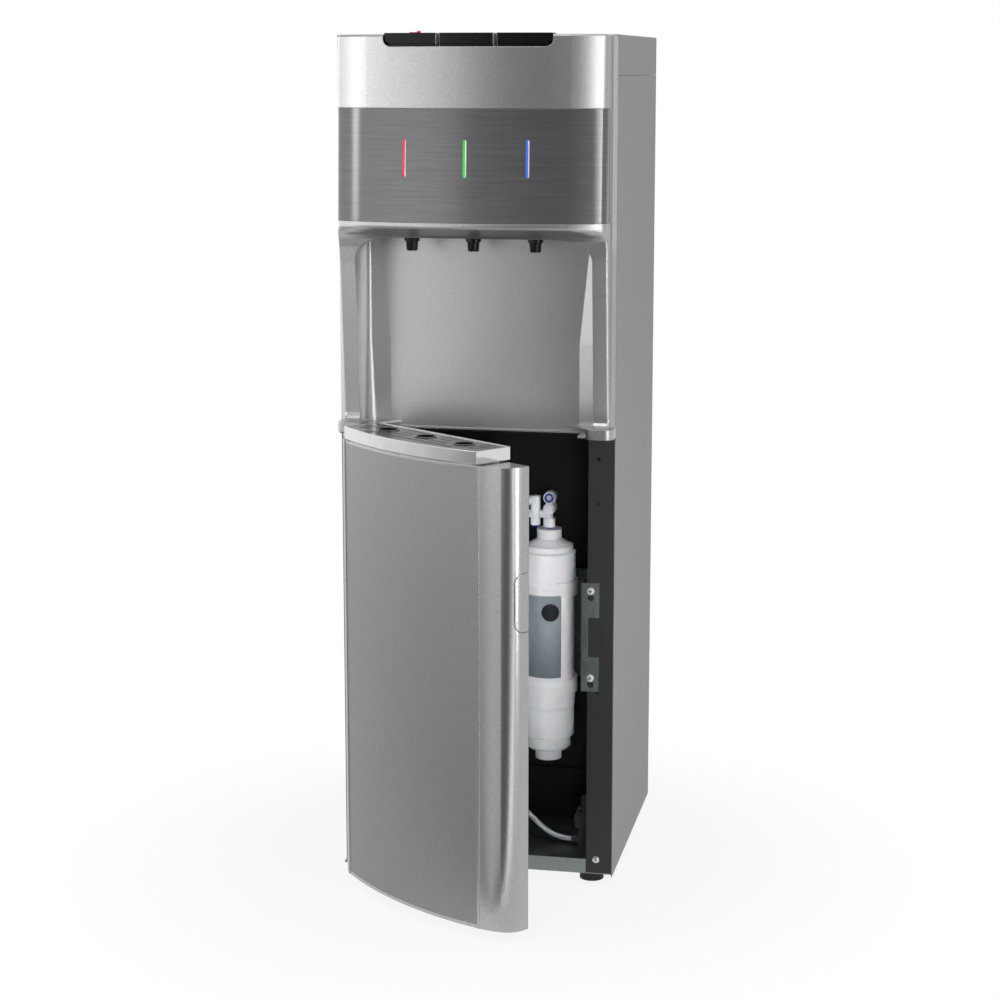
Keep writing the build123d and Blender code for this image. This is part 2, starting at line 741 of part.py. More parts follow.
coil_y = panel_depth + condenser_gap
run_pitch = condenser_height / (condenser_runs - 1)
bend = run_pitch / 2
corners = []
for n in range(condenser_runs):
    z = condenser_low + n * run_pitch
    side = 1 if n % 2 == 0 else -1
    corners += [(-side * condenser_half, z), (side * condenser_half, z)]
tube_lines = []
for n in range(condenser_runs):
    start, end = corners[2 * n], corners[2 * n + 1]
    tube_lines.append(Line(start, end))
    if n + 1 < condenser_runs:
        nxt = corners[2 * n + 2]
        bulge = (end[0] + math.copysign(bend, end[0]), (end[1] + nxt[1]) / 2)
        tube_lines.append(ThreePointArc(end, bulge, nxt))
path = Plane.XZ.offset(-coil_y) * Wire(tube_lines)
section = Plane(origin=path @ 0, z_dir=path % 0) * RegularPolygon(condenser_tube, 8)
serpentine = sweep(section, path=path)
wires = []
wire_count = 13
wire_side = 1.2
wire_half = condenser_half - 12
wire_y = coil_y + condenser_tube * math.cos(math.pi / 8) + wire_side * math.sqrt(0.5) + 0.05
wire_z = condenser_low + condenser_height / 2
for n in range(wire_count):
    x = wire_half * (2 * n / (wire_count - 1) - 1)
    wires.append(Pos(x, wire_y, wire_z) * Rot(0, 0, 45) * Box(wire_side, wire_side, condenser_height + 30))
for n in (1, condenser_runs - 2):
    z = condenser_low + n * run_pitch
    wires.append(block(-condenser_half, condenser_half, rear_y, coil_y - condenser_tube - 0.1, z - 5, z + 5))
parts["condenser"] = group(serpentine, *wires)
drier_radius = 10.0
drier_pipe = 3.0
drier_length = 95.0
drier_profile = make_face(Polyline(
    (0, 0), (drier_pipe, 0), (drier_pipe, 10), (drier_radius, 18), (drier_radius, drier_length - 20),
    (drier_pipe, drier_length - 11), (drier_pipe, drier_length), (0, drier_length), close=True,
))
drier_x = compressor_x + plate_half[0] + 2 * drier_radius
parts["filter_drier"] = Pos(drier_x, compressor_y + 20, mount_z) * revolve(Plane.XZ * drier_profile, Axis.Z)

# Rear fittings
inlet = bar_y(inlet_x, inlet_z, rear_y - 14, rear_y + 18, 9.0) + bar_y(inlet_x, inlet_z, rear_y, rear_y + 4, 12.0)
inlet -= bar_y(inlet_x, inlet_z, rear_y - 2, rear_y + 19, tube_radius)
parts["water_inlet"] = inlet
drains = []
for x in drain_xs:
    drain = bar_y(x, inlet_z, rear_y - 10, rear_y + 14, 7.0) + bar_y(x, inlet_z, rear_y, rear_y + 12, 10.0)
    drains.append(drain)
parts["drain_outlets"] = group(*drains)
socket = block(mains_x - 13.5, mains_x + 13.5, rear_y - 22, rear_y + 1, mains_z - 10, mains_z + 10)
socket += block(mains_x - 18, mains_x + 18, rear_y, rear_y + 3, mains_z - 14, mains_z + 14)
socket -= block(mains_x - 12, mains_x + 12, rear_y - 14, rear_y + 5, mains_z - 8.2, mains_z + 8.2)
for dx in (-7, 0, 7):
    socket += block(mains_x + dx - 1, mains_x + dx + 1, rear_y - 16, rear_y - 1, mains_z - 2, mains_z + 2)
parts["mains_inlet"] = socket

rocker_tilt = 10.0
pivot_y = rear_y - 3
frames = []
for n, name in ((0, "hot_switch"), (1, "cold_switch")):
    x = switch_x + n * switch_pitch
    frame = block(x - 10.3, x + 10.3, rear_y - 16, rear_y + 0.1, switch_z - 6.3, switch_z + 6.3)
    frame += block(x - 12.5, x + 12.5, rear_y, rear_y + 2.2, switch_z - 8.5, switch_z + 8.5)
    frame -= block(x - 8.5, x + 8.5, rear_y - 12, rear_y + 3, switch_z - 5, switch_z + 5)
    frame -= upright(x, pivot_y, switch_z - 6.2, switch_z + 6.2, 1.0 + 0.05)
    frames.append(frame)
    rocker = block(x - 7.0, x + 7.0, rear_y - 5, rear_y + 2.4, switch_z - 4.7, switch_z + 4.7)
    rocker -= upright(x, rear_y + 22.2, switch_z - 6, switch_z + 6, 21.0)
    rocker += upright(x, pivot_y, switch_z - 6.0, switch_z + 6.0, 1.0)
    parts[name] = Pos(x, pivot_y, 0) * Rot(0, 0, rocker_tilt) * Pos(-x, -pivot_y, 0) * rocker
parts["switch_frames"] = group(*frames)


# Filters
def cartridge():
    """A sealed in-line cartridge with ringed end caps and a threaded neck."""
    r = filter_radius
    n = filter_neck
    top = filter_length
    outline = Polyline(
        (0, 0), (n + 1, 0), (n + 1, 13), (r - 9, 14), (r - 5.3, 18), (r - 5.3, 31), (r - 1, 33), (r - 1, 70),
        (r - 2, 71), (r - 2, 73), (r, 74), (r, 100), (r - 1.2, 101), (r - 1.2, top - 70), (r, top - 69),
        (r, top - 30), (r - 3.3, top - 28), (r - 3.3, top - 21), (r - 7, top - 20), (n, top - 13), (n, top),
        (0, top), close=True,
    )
    return revolve(Plane.XZ * make_face(outline), Axis.Z)


filter_places = ((filter_x, filter_y), (filter_x + second_filter_dx, filter_y + second_filter_dy))
for (x, y), name in zip(filter_places, ("carbon_filter", "sediment_filter")):
    parts[name] = Pos(x, y, filter_low) * cartridge()

clips = []
elbows = []
collets = []
neck_z = filter_low + filter_length
clip_radius = filter_radius + 0.3
for x, y in filter_places:
    for z in (clip_low, clip_high):
        low, high = z - clip_height / 2, z + clip_height / 2
        ring = upright(x, y, low, high, clip_radius + clip_wall)
        ring -= block(x - 2 * clip_radius, x + 0.6 * clip_radius, y - 60, y, low - 1, high - clip_band)
        ring += block(x - 12, x + 12, y + filter_radius, bracket_y, low, high)
        ring -= upright(x, y, low - 1, high + 1, clip_radius)
        clips.append(ring)
    fitting = upright(x, y, neck_z + 1.8, neck_z + 13, fitting_radius)
    fitting += upright(x, y, neck_z, neck_z + low_elbow, riser_radius)
    fitting += bar_y(x, neck_z + low_elbow, y - 3, y + 14, fitting_radius)
    fitting += Pos(x, y, neck_z + low_elbow) * Sphere(fitting_radius)
    fitting += upright(x, y + 14, neck_z + low_elbow, neck_z + high_elbow, riser_radius + 1)
    fitting += bar_y(x, neck_z + high_elbow, y - 2, y + 14, fitting_radius)
    fitting += Pos(x, y + 14, neck_z + high_elbow) * Sphere(fitting_radius)
    fitting -= bar_y(x, neck_z + high_elbow, y - 3, y + 9, tube_radius + 0.3)
    twin_x = x + twin_dx
    fitting += upright(twin_x, y, neck_z + 4, neck_z + high_elbow + 2, twin_radius)
    fitting += bar_x(y, neck_z + 18, twin_x - 12, x, riser_radius)
    fitting += bar_x(y, neck_z + high_elbow - 4, twin_x - 12, twin_x, twin_radius)
    elbows.append(fitting)
    foot_collet = upright(x, y, neck_z + 0.1, neck_z + 1.7, fitting_radius - 0.9)
    collets.append(foot_collet - upright(x, y, neck_z, neck_z + 2, riser_radius + 0.1))
    mouth = bar_y(x, neck_z + high_elbow, y - 4, y - 2.1, fitting_radius - 1.8)
    collets.append(mouth - bar_y(x, neck_z + high_elbow, y - 6, y, tube_radius + 0.3))
    collets.append(upright(twin_x, y, neck_z + 1.8, neck_z + 3.9, twin_radius - 1.2))
parts["filter_clips"] = group(*clips)
parts["filter_elbows"] = group(*elbows)
parts["filter_collets"] = group(*collets)

low_tab, high_tab = bracket_low + 34.5, bracket_high - 16.5
flange_width = 7.0
keyhole_drop = 8.6
keyhole_radius = 4.2
tab_x = bracket_x + tab_width / 2
cross_x = filter_x + second_filter_dx - 30
bracket = block(cross_x, bracket_x, bracket_y, bracket_y + post_sheet, bracket_low, bracket_high)
bracket += block(bracket_x - post_sheet, bracket_x, 30, bracket_y + post_sheet, low_tab, bracket_high)
bracket += block(bracket_x - post_sheet, bracket_x, -post_sheet, 31, low_tab, high_tab + tab_height)
bracket += block(bracket_x, bracket_x + flange_width, -post_sheet, 0, low_tab, high_tab + tab_height)
bracket_screws = []
for z, lift in ((low_tab, 17.2), (high_tab, 33.3)):
    bracket += block(bracket_x - post_sheet, bracket_x + tab_width, -post_sheet, 0, z, z + tab_height)
    slot_z = z + lift
    bracket -= bar_y(tab_x, slot_z - keyhole_drop, -5, 5, keyhole_radius)
    bracket -= block(tab_x - 2.2, tab_x + 2.2, -5, 5, slot_z - keyhole_drop, slot_z)
    bracket -= bar_y(tab_x, slot_z, -5, 5, 2.2)
    head = bar_y(tab_x, slot_z, -post_sheet - 2.4, -post_sheet, 4.4)
    bracket_screws.append(head + bar_y(tab_x, slot_z, -post_sheet, -0.05, 2.0))
parts["filter_bracket"] = bracket
low_screw = bar_y(half_width - 20, base_z + base_rail, -0.7, 0, 4.4)
parts["frame_fasteners"] = group(*bracket_screws, low_screw, *nuts)

# Leak valve on the base, with the tube that feeds the hidden cartridge from below
valve_x, valve_y = half_width - 50.0, 108.0
valve_half = (13.0, 18.0)
valve_waist = 25.0
valve_height = 41.0
valve_cap = 20.0
cap_radius = 10.0
elbow_z = mount_z + 7.0
elbow_radius = 5.5
valve = rounded_block(
    valve_x - 0.6 * valve_half[0], valve_x + valve_half[0], valve_y - valve_half[1], valve_y + valve_half[1],
    mount_z, mount_z + valve_waist + 1, 3, Axis.Z
)
valve += rounded_block(
    valve_x - valve_half[0], valve_x + valve_half[0], valve_y - valve_half[1], valve_y + valve_half[1],
    mount_z + valve_waist, mount_z + valve_height, 4, Axis.Z
)
valve += upright(
    valve_x + 3, valve_y, mount_z + valve_height - 1, mount_z + valve_height + valve_cap, cap_radius
)
valve += bar_x(valve_y, mount_z + valve_height + 4, valve_x - cap_radius, valve_x, 3.0)
tube_start = valve_x - valve_half[0] - 4
valve += bar_x(valve_y - 8, elbow_z, tube_start, valve_x, elbow_radius)
parts["leak_valve"] = valve
feed_x, feed_y = filter_places[1]
tube_path = Spline(
    (tube_start, valve_y - 8, elbow_z),
    (tube_start - 45, valve_y + 2, elbow_z + 14),
    (feed_x + 12, feed_y - 12, filter_low - 32),
    (feed_x, feed_y, filter_low - 0.1),
    tangents=[(-1, 0, 0), (0, 0, 1)],
)
tube_section = Plane(origin=tube_path @ 0, z_dir=tube_path % 0) * RegularPolygon(tube_radius, 8)
parts["valve_tube"] = sweep(tube_section, path=tube_path)


# Door, modelled shut
def door_plan(inset, back, knuckle):
    """The plan of the door. Its left side ends at the hinge knuckle."""
    front = -door_front
    bends = [
        (rib_x, front + door_rib_back),
        (door_half - 13, front + 28),
        (door_half, front + 48),
    ]
    left_bends = [
        (rib_x, front + door_rib_back),
        (door_half - 23, front + 26.5),
        (-pin_x + 0.7071 * knuckle_radius, pin_y - 0.7071 * knuckle_radius),
    ]
    left_run = [(-pin_x + knuckle, pin_y), (-pin_x + knuckle, back)]
    return bulged_plan(front, bends, [(door_half, back)], inset, left_bends, left_run)


def door_prism(inset, low, high, back=-door_back):
    """The door's outline as a block between two heights."""
    return extrude(Pos(0, 0, low) * door_plan(inset, back, 0.0), high - low)


tray_front = door_front + tray_overhang
tray_low = door_top + tray_lift
tray_high = tray_low + tray_height
tray_half = rib_x - 1.0


def tray_prism(inset, low, high):
    """The drip tray's outline as a block between two heights."""
    lead = rib_x + 1
    run = [(lead, -door_front + door_rib_back + 2), (lead, tray_back)]
    bends = [(rib_x, -tray_front + door_rib_back), (lead, -tray_front + door_rib_back + 0.8)]
    plan = bulged_plan(-tray_front, bends, run, inset)
    half = tray_half - inset
    return extrude(Pos(0, 0, low) * plan, high - low) & block(
        -half, half, -2 * tray_front, tray_back - inset, low, high
    )


sump_y0, sump_y1 = -door_front + 16, -door_back - 12


def door_shell():
    """The hollow door moulding with two proud ribs, a grip notch and a bored knuckle."""
    shell = door_prism(0.0, door_bottom, door_top)
    shell += upright(pin_x, pin_y, door_bottom, door_top, knuckle_radius)
    hollow = door_prism(door_wall, door_bottom + door_wall, door_top - door_wall, overrun)
    hollow &= block(pin_x + knuckle_radius + 2, door_half, -2 * door_front, overrun, 0, door_top)
    shell -= hollow
    plain = door_prism(0.0, door_bottom, door_top)
    proud = door_prism(-rib_proud, door_bottom, door_top) - door_prism(0.5, 0, cabinet_height)
    rib = proud & block(rib_x - 1.4, rib_x - 1.4 + rib_width, -2 * door_front, 0, door_bottom, door_top)
    shell += both_sides(rib)
    half = rib_x - 1.4 - 0.4
    recess = plain - door_prism(panel_sheet + 0.2, 0, cabinet_height)
    shell -= recess & block(-half, half, -2 * door_front, 0, door_bottom + 4, door_top - 4)
    shell -= grip_notch(0.0)
    shell -= block(
        -sump_half - 1, sump_half + 1, sump_y0 - 1, sump_y1 + 1, door_top - sump_depth, door_top + 1
    )
    for z in (door_bottom, door_top - pin_grip):
        shell -= upright(pin_x, pin_y, z - 1, z + pin_grip + 1, pin_radius + pin_clearance)
    return shell


def grip_notch(inset):
    """The place of the finger grip in the free edge of the door, a D that is open to the rear."""
    x0 = door_half - grip_depth + inset
    y0 = -door_back - grip_reach + inset
    notch = block(
        x0, door_half + 20, y0, 20, grip_low + inset, grip_low + grip_height - inset
    )
    return fillet(notch.edges().filter_by(Axis.X).group_by(Axis.Y)[0], grip_round - inset)


def door_grip():
    """The grip: a D that lies flush in the side of the door, hollowed from the rear for fingers."""
    near = 0.15
    grip = grip_notch(near) & door_prism(0.0, grip_low, grip_low + grip_height)
    rim = grip_notch(0.0) - grip_notch(groove)
    grip -= rim - door_prism(groove, 0, cabinet_height)
    pocket = block(
        door_half - grip_depth + grip_wall, door_half - grip_wall, -door_back - grip_reach + 1.6 * grip_wall, 20,
        grip_low + grip_wall, grip_low + grip_height - grip_wall
    )
    behind = block(
        door_half - 2 * grip_depth, door_half - 1.5 * grip_wall, -door_back - liner_inset, 20,
        grip_low, grip_low + grip_height
    )
    return grip - pocket - behind


door_parts = {}
door_parts["door_shell"] = door_shell()
face_panel = door_prism(0.0, door_bottom, door_top) - door_prism(panel_sheet, 0, cabinet_height)
panel_half = rib_x - 1.4 - 0.4 - seam / 2
face_panel &= block(
    -panel_half, panel_half, -2 * door_front, 0, door_bottom + 4 + seam / 2, door_top - 4 - seam / 2
)
door_parts["door_panel"] = face_panel
door_parts["door_grip"] = door_grip()

liner_x0 = pin_x + knuckle_radius + 2.4
liner_x1 = door_half - door_wall - 0.4
liner_z0 = door_bottom + door_wall + 0.4
liner_z1 = door_top - door_wall - 0.4
liner_back = -door_back - liner_inset
liner = block(liner_x0, liner_x1, liner_back - 2.5, liner_back, liner_z0, liner_z1)
well = (liner_x0 + liner_rim, liner_x1 - liner_rim - grip_depth)
well_z = (liner_z0 + liner_rim, liner_z1 - liner_rim)
well_y = liner_back - liner_sink
liner += block(well[0] - 2, well[1] + 2, well_y - 2, liner_back - 1, well_z[0] - 2, well_z[1] + 2)
liner -= block(well[0], well[1], well_y, 1, well_z[0], well_z[1])
for n in (1, 2, 3):
    z = well_z[0] + (well_z[1] - well_z[0]) * n / 4
    liner += block(well[0], well[1], well_y, liner_back - 2, z - 1, z + 1)
liner -= grip_notch(-0.3)
magnet_x = liner_x1 - 8
magnet_z = door_top - 60
liner -= block(magnet_x - 4, magnet_x + 4, liner_back - 5, 1, magnet_z - 20, magnet_z + 20)
door_parts["door_liner"] = liner
door_parts["door_magnet"] = block(
    magnet_x - 3.8, magnet_x + 3.8, liner_back - 2.5, -door_back, magnet_z - 19.8, magnet_z + 19.8
)

tray_parts = {}
tray = tray_prism(0.0, tray_low, tray_high)
tray = fillet(tray.edges().filter_by(Axis.Z).group_by(Axis.Y)[-1], 3.0)
tray -= tray_prism(tray_wall, tray_high - 9.5, tray_high + 1)
sump = block(-sump_half, sump_half, sump_y0, sump_y1, door_top - sump_depth + 0.8, tray_high - 9.4)
tray += sump
tray += tray_prism(5.0, door_top + seam, tray_low) & block(
    -sump_half - 12, sump_half + 12, sump_y0 - 8, -door_back - 1, door_top, tray_low
)
tray -= block(
    -sump_half + 2, sump_half - 2, sump_y0 + 2, sump_y1 - 2, door_top - sump_depth + 2.8, tray_high
)
tray_parts["drip_tray"] = tray

grille_z = tray_high - 0.6 - grille_sheet
grille = tray_prism(tray_wall + seam, grille_z, grille_z + grille_sheet)
grille -= tray_prism(tray_wall + seam + 2.2, 0, grille_z + 1.0)
cup_xs = (-cup_pitch, 0.0, cup_pitch)
for x in cup_xs:
    grille += upright(x, tap_y, grille_z, grille_z + grille_sheet + 0.8, cup_radius + 2.2)
for x in cup_xs:
    grille -= upright(x, tap_y, grille_z - 1, tray_high + 5, cup_radius)
slot_length, slot_width, slot_angle = 13.0, 2.6, 35.0
slot_pitch, row_pitch = 10.0, 12.5
slots = []
for row in range(4):
    y = tray_back - 12.0 - row_pitch * row
    for n in range(-11, 12):
        x = slot_pitch * n + (slot_pitch / 2 if row % 2 else 0.0)
        front = -tray_front + door_rib_back * (x / rib_x) ** 2
        clear = all(math.hypot(x - cup_x, y - tap_y) > cup_radius + 9.5 for cup_x in cup_xs)
        inside = abs(x) < tray_half - 14 and y > front + 12
        if clear and inside:
            slots.append(Pos(x, y, grille_z) * Rot(0, 0, slot_angle) * Box(slot_length, slot_width, 20))
grille -= slots
foot_z = tray_high - 9.5
for x in (-tray_half + 7, tray_half - 7):
    for y in (tap_y - 16, tap_y + 16):
        grille += upright(x, y, foot_z, grille_z + 1.5, 2.5)
tray_parts["drip_grille"] = grille

# Hinge
hinge_sheet = 2.2
plate_x = pin_x + 5.0
plate_y = pin_y - 6.5
hinge_outer = half_width - sheet - 0.6
low_plate = block(-hinge_outer, plate_x, plate_y, 22, base_z - hinge_sheet, base_z)
top_z = door_top + seam
top_plate = block(-hinge_outer, plate_x, plate_y, -0.02, top_z, top_z + 1.5)
top_plate += block(-hinge_outer, plate_x, -door_back + 0.2, -0.02, top_z - 24, top_z + 1.5)
hinge_pieces = []
pins = []
for plate in (low_plate, top_plate):
    hinge_pieces.append(plate - upright(pin_x, pin_y, 0, cabinet_height, pin_radius + 0.02))
pins.append(upright(pin_x, pin_y, base_z - hinge_sheet, door_bottom + pin_grip - 1, pin_radius))
pins.append(upright(pin_x, pin_y, door_top - pin_grip + 1, top_z + 1.5, pin_radius))
parts["hinge_plates"] = group(*hinge_pieces)
parts["hinge_pins"] = group(*pins)

# Swing the door and the tray to the rest angle, then centre everything along Y
swing = Pos(pin_x, pin_y, 0) * Rot(0, 0, -door_open_angle) * Pos(-pin_x, -pin_y, 0)
for name, shape in {**door_parts, **tray_parts}.items():
    parts[name] = swing * shape

boxes = [shape.bounding_box() for shape in parts.values()]
front_y = min(box.min.Y for box in boxes)
back_y = max(box.max.Y for box in boxes)
shift = -(front_y + back_y) / 2

os.makedirs("parts", exist_ok=True)
for name, shape in parts.items():
    export_step(shape.moved(Location((0, shift, 0))), f"parts/{name}.step")
print("nodes", len(parts), "shift", round(shift, 3), "depth", round(back_y - front_y, 2))
print("pin", pin_x, pin_y + shift, "floor", niche_floor, "door top", door_top, "tray", tray_low, tray_high)
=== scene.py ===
# %% [markdown]
# # A point-of-use water cooler
# The cooler is a steel cabinet with a moulded silver head, a brushed fascia with three light bars,
# three taps over a niche, and a lower door that stands ajar in front of the filter cartridges. Every
# working piece comes from the packed model, at its real size. This script gives each one its finish,
# adds the thin pieces that a maker sticks or screws on last, and sets up the camera and the light.

# %% The packed model
import math

import bpy
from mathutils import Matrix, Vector


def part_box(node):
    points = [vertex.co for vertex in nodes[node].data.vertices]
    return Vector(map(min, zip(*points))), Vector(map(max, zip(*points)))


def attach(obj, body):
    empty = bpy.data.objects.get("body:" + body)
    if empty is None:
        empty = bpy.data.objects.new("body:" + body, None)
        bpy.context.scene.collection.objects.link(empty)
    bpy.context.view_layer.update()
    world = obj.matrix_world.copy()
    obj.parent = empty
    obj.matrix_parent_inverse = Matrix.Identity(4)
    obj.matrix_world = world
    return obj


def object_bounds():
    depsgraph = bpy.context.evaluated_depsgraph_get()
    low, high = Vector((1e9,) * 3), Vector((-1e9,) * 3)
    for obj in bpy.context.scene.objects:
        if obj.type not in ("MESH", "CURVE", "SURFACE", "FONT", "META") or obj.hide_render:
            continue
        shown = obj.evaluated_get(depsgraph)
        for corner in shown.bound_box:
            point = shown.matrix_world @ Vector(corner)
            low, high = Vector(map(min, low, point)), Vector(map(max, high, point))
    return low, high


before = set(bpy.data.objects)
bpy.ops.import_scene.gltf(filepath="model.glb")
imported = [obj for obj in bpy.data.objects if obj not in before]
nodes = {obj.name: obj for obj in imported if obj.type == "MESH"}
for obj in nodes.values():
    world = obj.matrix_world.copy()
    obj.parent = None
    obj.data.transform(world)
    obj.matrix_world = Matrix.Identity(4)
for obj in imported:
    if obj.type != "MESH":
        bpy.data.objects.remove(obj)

cad_low, cad_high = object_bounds()
front_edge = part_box("side_panel_right")[0].y
half_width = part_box("side_panel_right")[1].x
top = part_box("top_cover")[1].z
print("nodes", len(nodes), "box", tuple(cad_low), tuple(cad_high))

# %% [markdown]
# ## The camera
# The cooler is seen from the right of its middle and from near its top, through a long lens. A
# photographer would slide the lens down to keep the uprights parallel. Blender's lens shift does the
# same, but only a small share of it is used here, and the camera tips down for the rest, so that the
# cooler also stays in the picture when the camera is moved round it.

# %% The camera
camera_side = 0.5607
camera_back = 2.6391
camera_height = 1.004
camera_yaw = math.radians(11.4)
lens = 81.0
sensor = 36.0
horizon_rise = 0.4345
lens_shift = 0.05

camera_data = bpy.data.cameras.new("camera")
camera_data.lens = lens
camera_data.sensor_width = sensor
camera_data.shift_y = -lens_shift
camera = bpy.data.objects.new("camera", camera_data)
bpy.context.scene.collection.objects.link(camera)
camera_pitch = math.atan((horizon_rise - lens_shift) * sensor / lens)
camera.location = (camera_side, front_edge - camera_back, camera_height)
camera.rotation_euler = (math.pi / 2 - camera_pitch, 0.0, camera_yaw)
bpy.context.scene.camera = camera
print("camera pitch", round(math.degrees(camera_pitch), 2))

# %% [markdown]
# ## Sums of shader values
# A shader node graph is a set of sums, and drawing it by hand hides the sums. This small class wraps an
# output socket, so that an expression such as `1 - mask * 0.4` adds the Math nodes that work it out.


# %% Sums of shader values
class Value:
    """An output socket that takes part in Python sums."""

    def __init__(self, graph, socket):
        self.graph = graph
        self.socket = socket

    def sum_of(self, operation, first, second=0.0):
        return self.graph.node("ShaderNodeMath", {"operation": operation}, first, second)

    def __add__(self, other):
        return self.sum_of("ADD", self, other)

    def __radd__(self, other):
        return self.sum_of("ADD", other, self)

    def __sub__(self, other):
        return self.sum_of("SUBTRACT", self, other)

    def __rsub__(self, other):
        return self.sum_of("SUBTRACT", other, self)

    def __mul__(self, other):
        return self.sum_of("MULTIPLY", self, other)

    def __rmul__(self, other):
        return self.sum_of("MULTIPLY", other, self)

    def __gt__(self, other):
        return self.sum_of("GREATER_THAN", self, other)

    def __lt__(self, other):
        return self.sum_of("LESS_THAN", self, other)

    def __abs__(self):
        return self.sum_of("ABSOLUTE", self)

    def at_least(self, other):
        """The larger of two values."""
        return self.sum_of("MAXIMUM", self, other)


# %% [markdown]
# ## A graph of nodes
# Materials and the world are both graphs. One method adds every kind of node: it takes the node's type
# and its settings, which are set first, and then the values or links of its inputs in order. `None`
# leaves an input as it is. A colour ramp's stops are a setting too, as pairs of a place and a brightness.


# %% A graph of nodes
class Graph:
    """A tree of shader nodes."""

    def __init__(self, tree):
        self.tree = tree

    def link(self, socket, value):
        """Feeds a socket with a value or with another node's output."""
        if isinstance(value, Value):
            self.tree.links.new(value.socket, socket)
        else:
            socket.default_value = value

    def node(self, kind, settings, *values, out=0, **named):
        """Adds a node, with its settings first, and returns one of its outputs."""
        made = self.tree.nodes.new(kind)
        for key, value in settings.items():
            if key == "stops":
                while len(made.color_ramp.elements) < len(value):
                    made.color_ramp.elements.new(1.0)
                for stop, (place, brightness) in zip(made.color_ramp.elements, value):
                    stop.position = place
                    stop.color = (brightness, brightness, brightness, 1.0)
            else:
                setattr(made, key, value)
        for socket, value in zip(made.inputs, values):
            if value is not None:
                self.link(socket, value)
        for key, value in named.items():
            self.link(made.inputs[key.replace("_", " ")], value)
        return Value(self, made.outputs[out])

    def ray(self, kind):
        """1 for the rays of one kind, such as Is Camera Ray, and 0 for the rest."""
        return self.node("ShaderNodeLightPath", {}, out=kind)

    def ease(self, value, start, end, first, last):
        """A value that goes smoothly from first to last as another goes from start to end."""
        return self.node(
            "ShaderNodeMapRange", {"interpolation_type": "SMOOTHSTEP"}, value, start, end, first, last
        )

    def part(self, vector, index):
        """The X, Y or Z of a vector."""
        return self.node("ShaderNodeSeparateXYZ", {}, vector, out=index)

    def bearing(self, right, ahead):
        """The angle from straight ahead to a direction, in radians, positive to the right."""
        return self.node("ShaderNodeMath", {"operation": "ARCTAN2"}, right, ahead)


print("graph helpers", [name for name in vars(Graph) if not name.startswith("_")])

# %% [markdown]
# ## A finish
# Each material is one Principled shader. Numbers that are the same all over the surface are set on the
# shader's own sockets. Nearly every surface that a maker leaves has a pattern, such as grain, scratches
# or crystals, and one pattern shows in three ways: the tone, the roughness and the relief. `texture`
# lets a pattern set all three. Patterns are noise in the object's own metres, so their scale is real.


# %% A finish
class Finish(Graph):
    """One material round a Principled shader."""

    def __init__(self, name, color, roughness=0.5, metallic=0.0, **constants):
        self.material = bpy.data.materials.new(name)
        self.material.use_nodes = True
        super().__init__(self.material.node_tree)
        self.shader = self.tree.nodes["Principled BSDF"]
        self.color = (*color, 1.0)
        self.set("Base Color", self.color)
        self.set("Roughness", roughness)
        self.set("Metallic", metallic)
        for socket, value in constants.items():
            self.set(socket.replace("_", " "), value)

    def set(self, name, value):
        """Sets one socket of the Principled shader."""
        self.link(self.shader.inputs[name], value)

    def place(self):
        """The object's own coordinates, in metres."""
        return self.node("ShaderNodeTexCoord", {}, out="Object")

    def axis(self, index):
        """One of the object's own coordinates, in metres."""
        return self.part(self.place(), index)

    def facing_up(self):
        """1 where the surface faces more up than sideways, and 0 elsewhere."""
        return self.part(self.node("ShaderNodeNewGeometry", {}, out="Normal"), 2) > 0.5

    def stretched(self, stretch):
        """The object's own coordinates, scaled along each axis."""
        return self.node("ShaderNodeMapping", {}, Vector=self.place(), Scale=stretch)

    def noise(self, size, detail=2.0, stretch=(1.0, 1.0, 1.0)):
        """Noise whose lumps are about `size` metres across, from 0 to 1."""
        return self.node(
            "ShaderNodeTexNoise", {}, Vector=self.stretched(stretch), Scale=1 / size, Detail=detail
        )

    def blend(self, share, first, second):
        """A colour between two colours. A Mix node's inputs for numbers and vectors come before them."""
        numbers_and_vectors = [None] * 5
        return self.node(
            "ShaderNodeMix", {"data_type": "RGBA"}, share, *numbers_and_vectors, first, second, out=2
        )

    def shade(self, share, darker, lighter):
        """The base colour, made between darker and lighter by a share from 0 to 1."""
        tones = [(*(min(1.0, part * level) for part in self.color[:3]), 1.0) for level in (darker, lighter)]
        return self.blend(share, *tones)

    def relief(self, height, depth, edge=0.0):
        """A bump of a real depth in metres, on edges that are rounded by a real radius."""
        named = {"Height": height, "Strength": 1.0, "Distance": depth}
        if edge:
            named["Normal"] = self.node("ShaderNodeBevel", {"samples": 4}, Radius=edge)
        self.set("Normal", self.node("ShaderNodeBump", {}, **named))

    def texture(self, pattern, tones=None, roughness=None, depth=0.0, edge=0.0):
        """Lets a pattern from 0 to 1 set the tone, the roughness and the relief."""
        if tones:
            self.set("Base Color", self.shade(pattern, *tones))
        if roughness:
            smooth, spread = roughness
            self.set("Roughness", smooth + spread * pattern)
        if depth:
            self.relief(pattern, depth, edge)


def dress(finish, *names):
    """Gives a finish to nodes of the packed model."""
    for name in names:
        mesh = nodes[name].data
        mesh.materials.clear()
        mesh.materials.append(finish.material)
    print(finish.material.name, "on", len(names), "nodes")


# %% [markdown]
# ## The room
# A glossy silver object shows the room more than itself, so the room comes first. It is a bright studio
# with white paper all round, a darker space behind the camera and a soft light on each side. The profile
# says how bright the room is at each bearing from straight ahead, with the left side negative. The world
# is plain white to the camera, and only reflections see the profile.

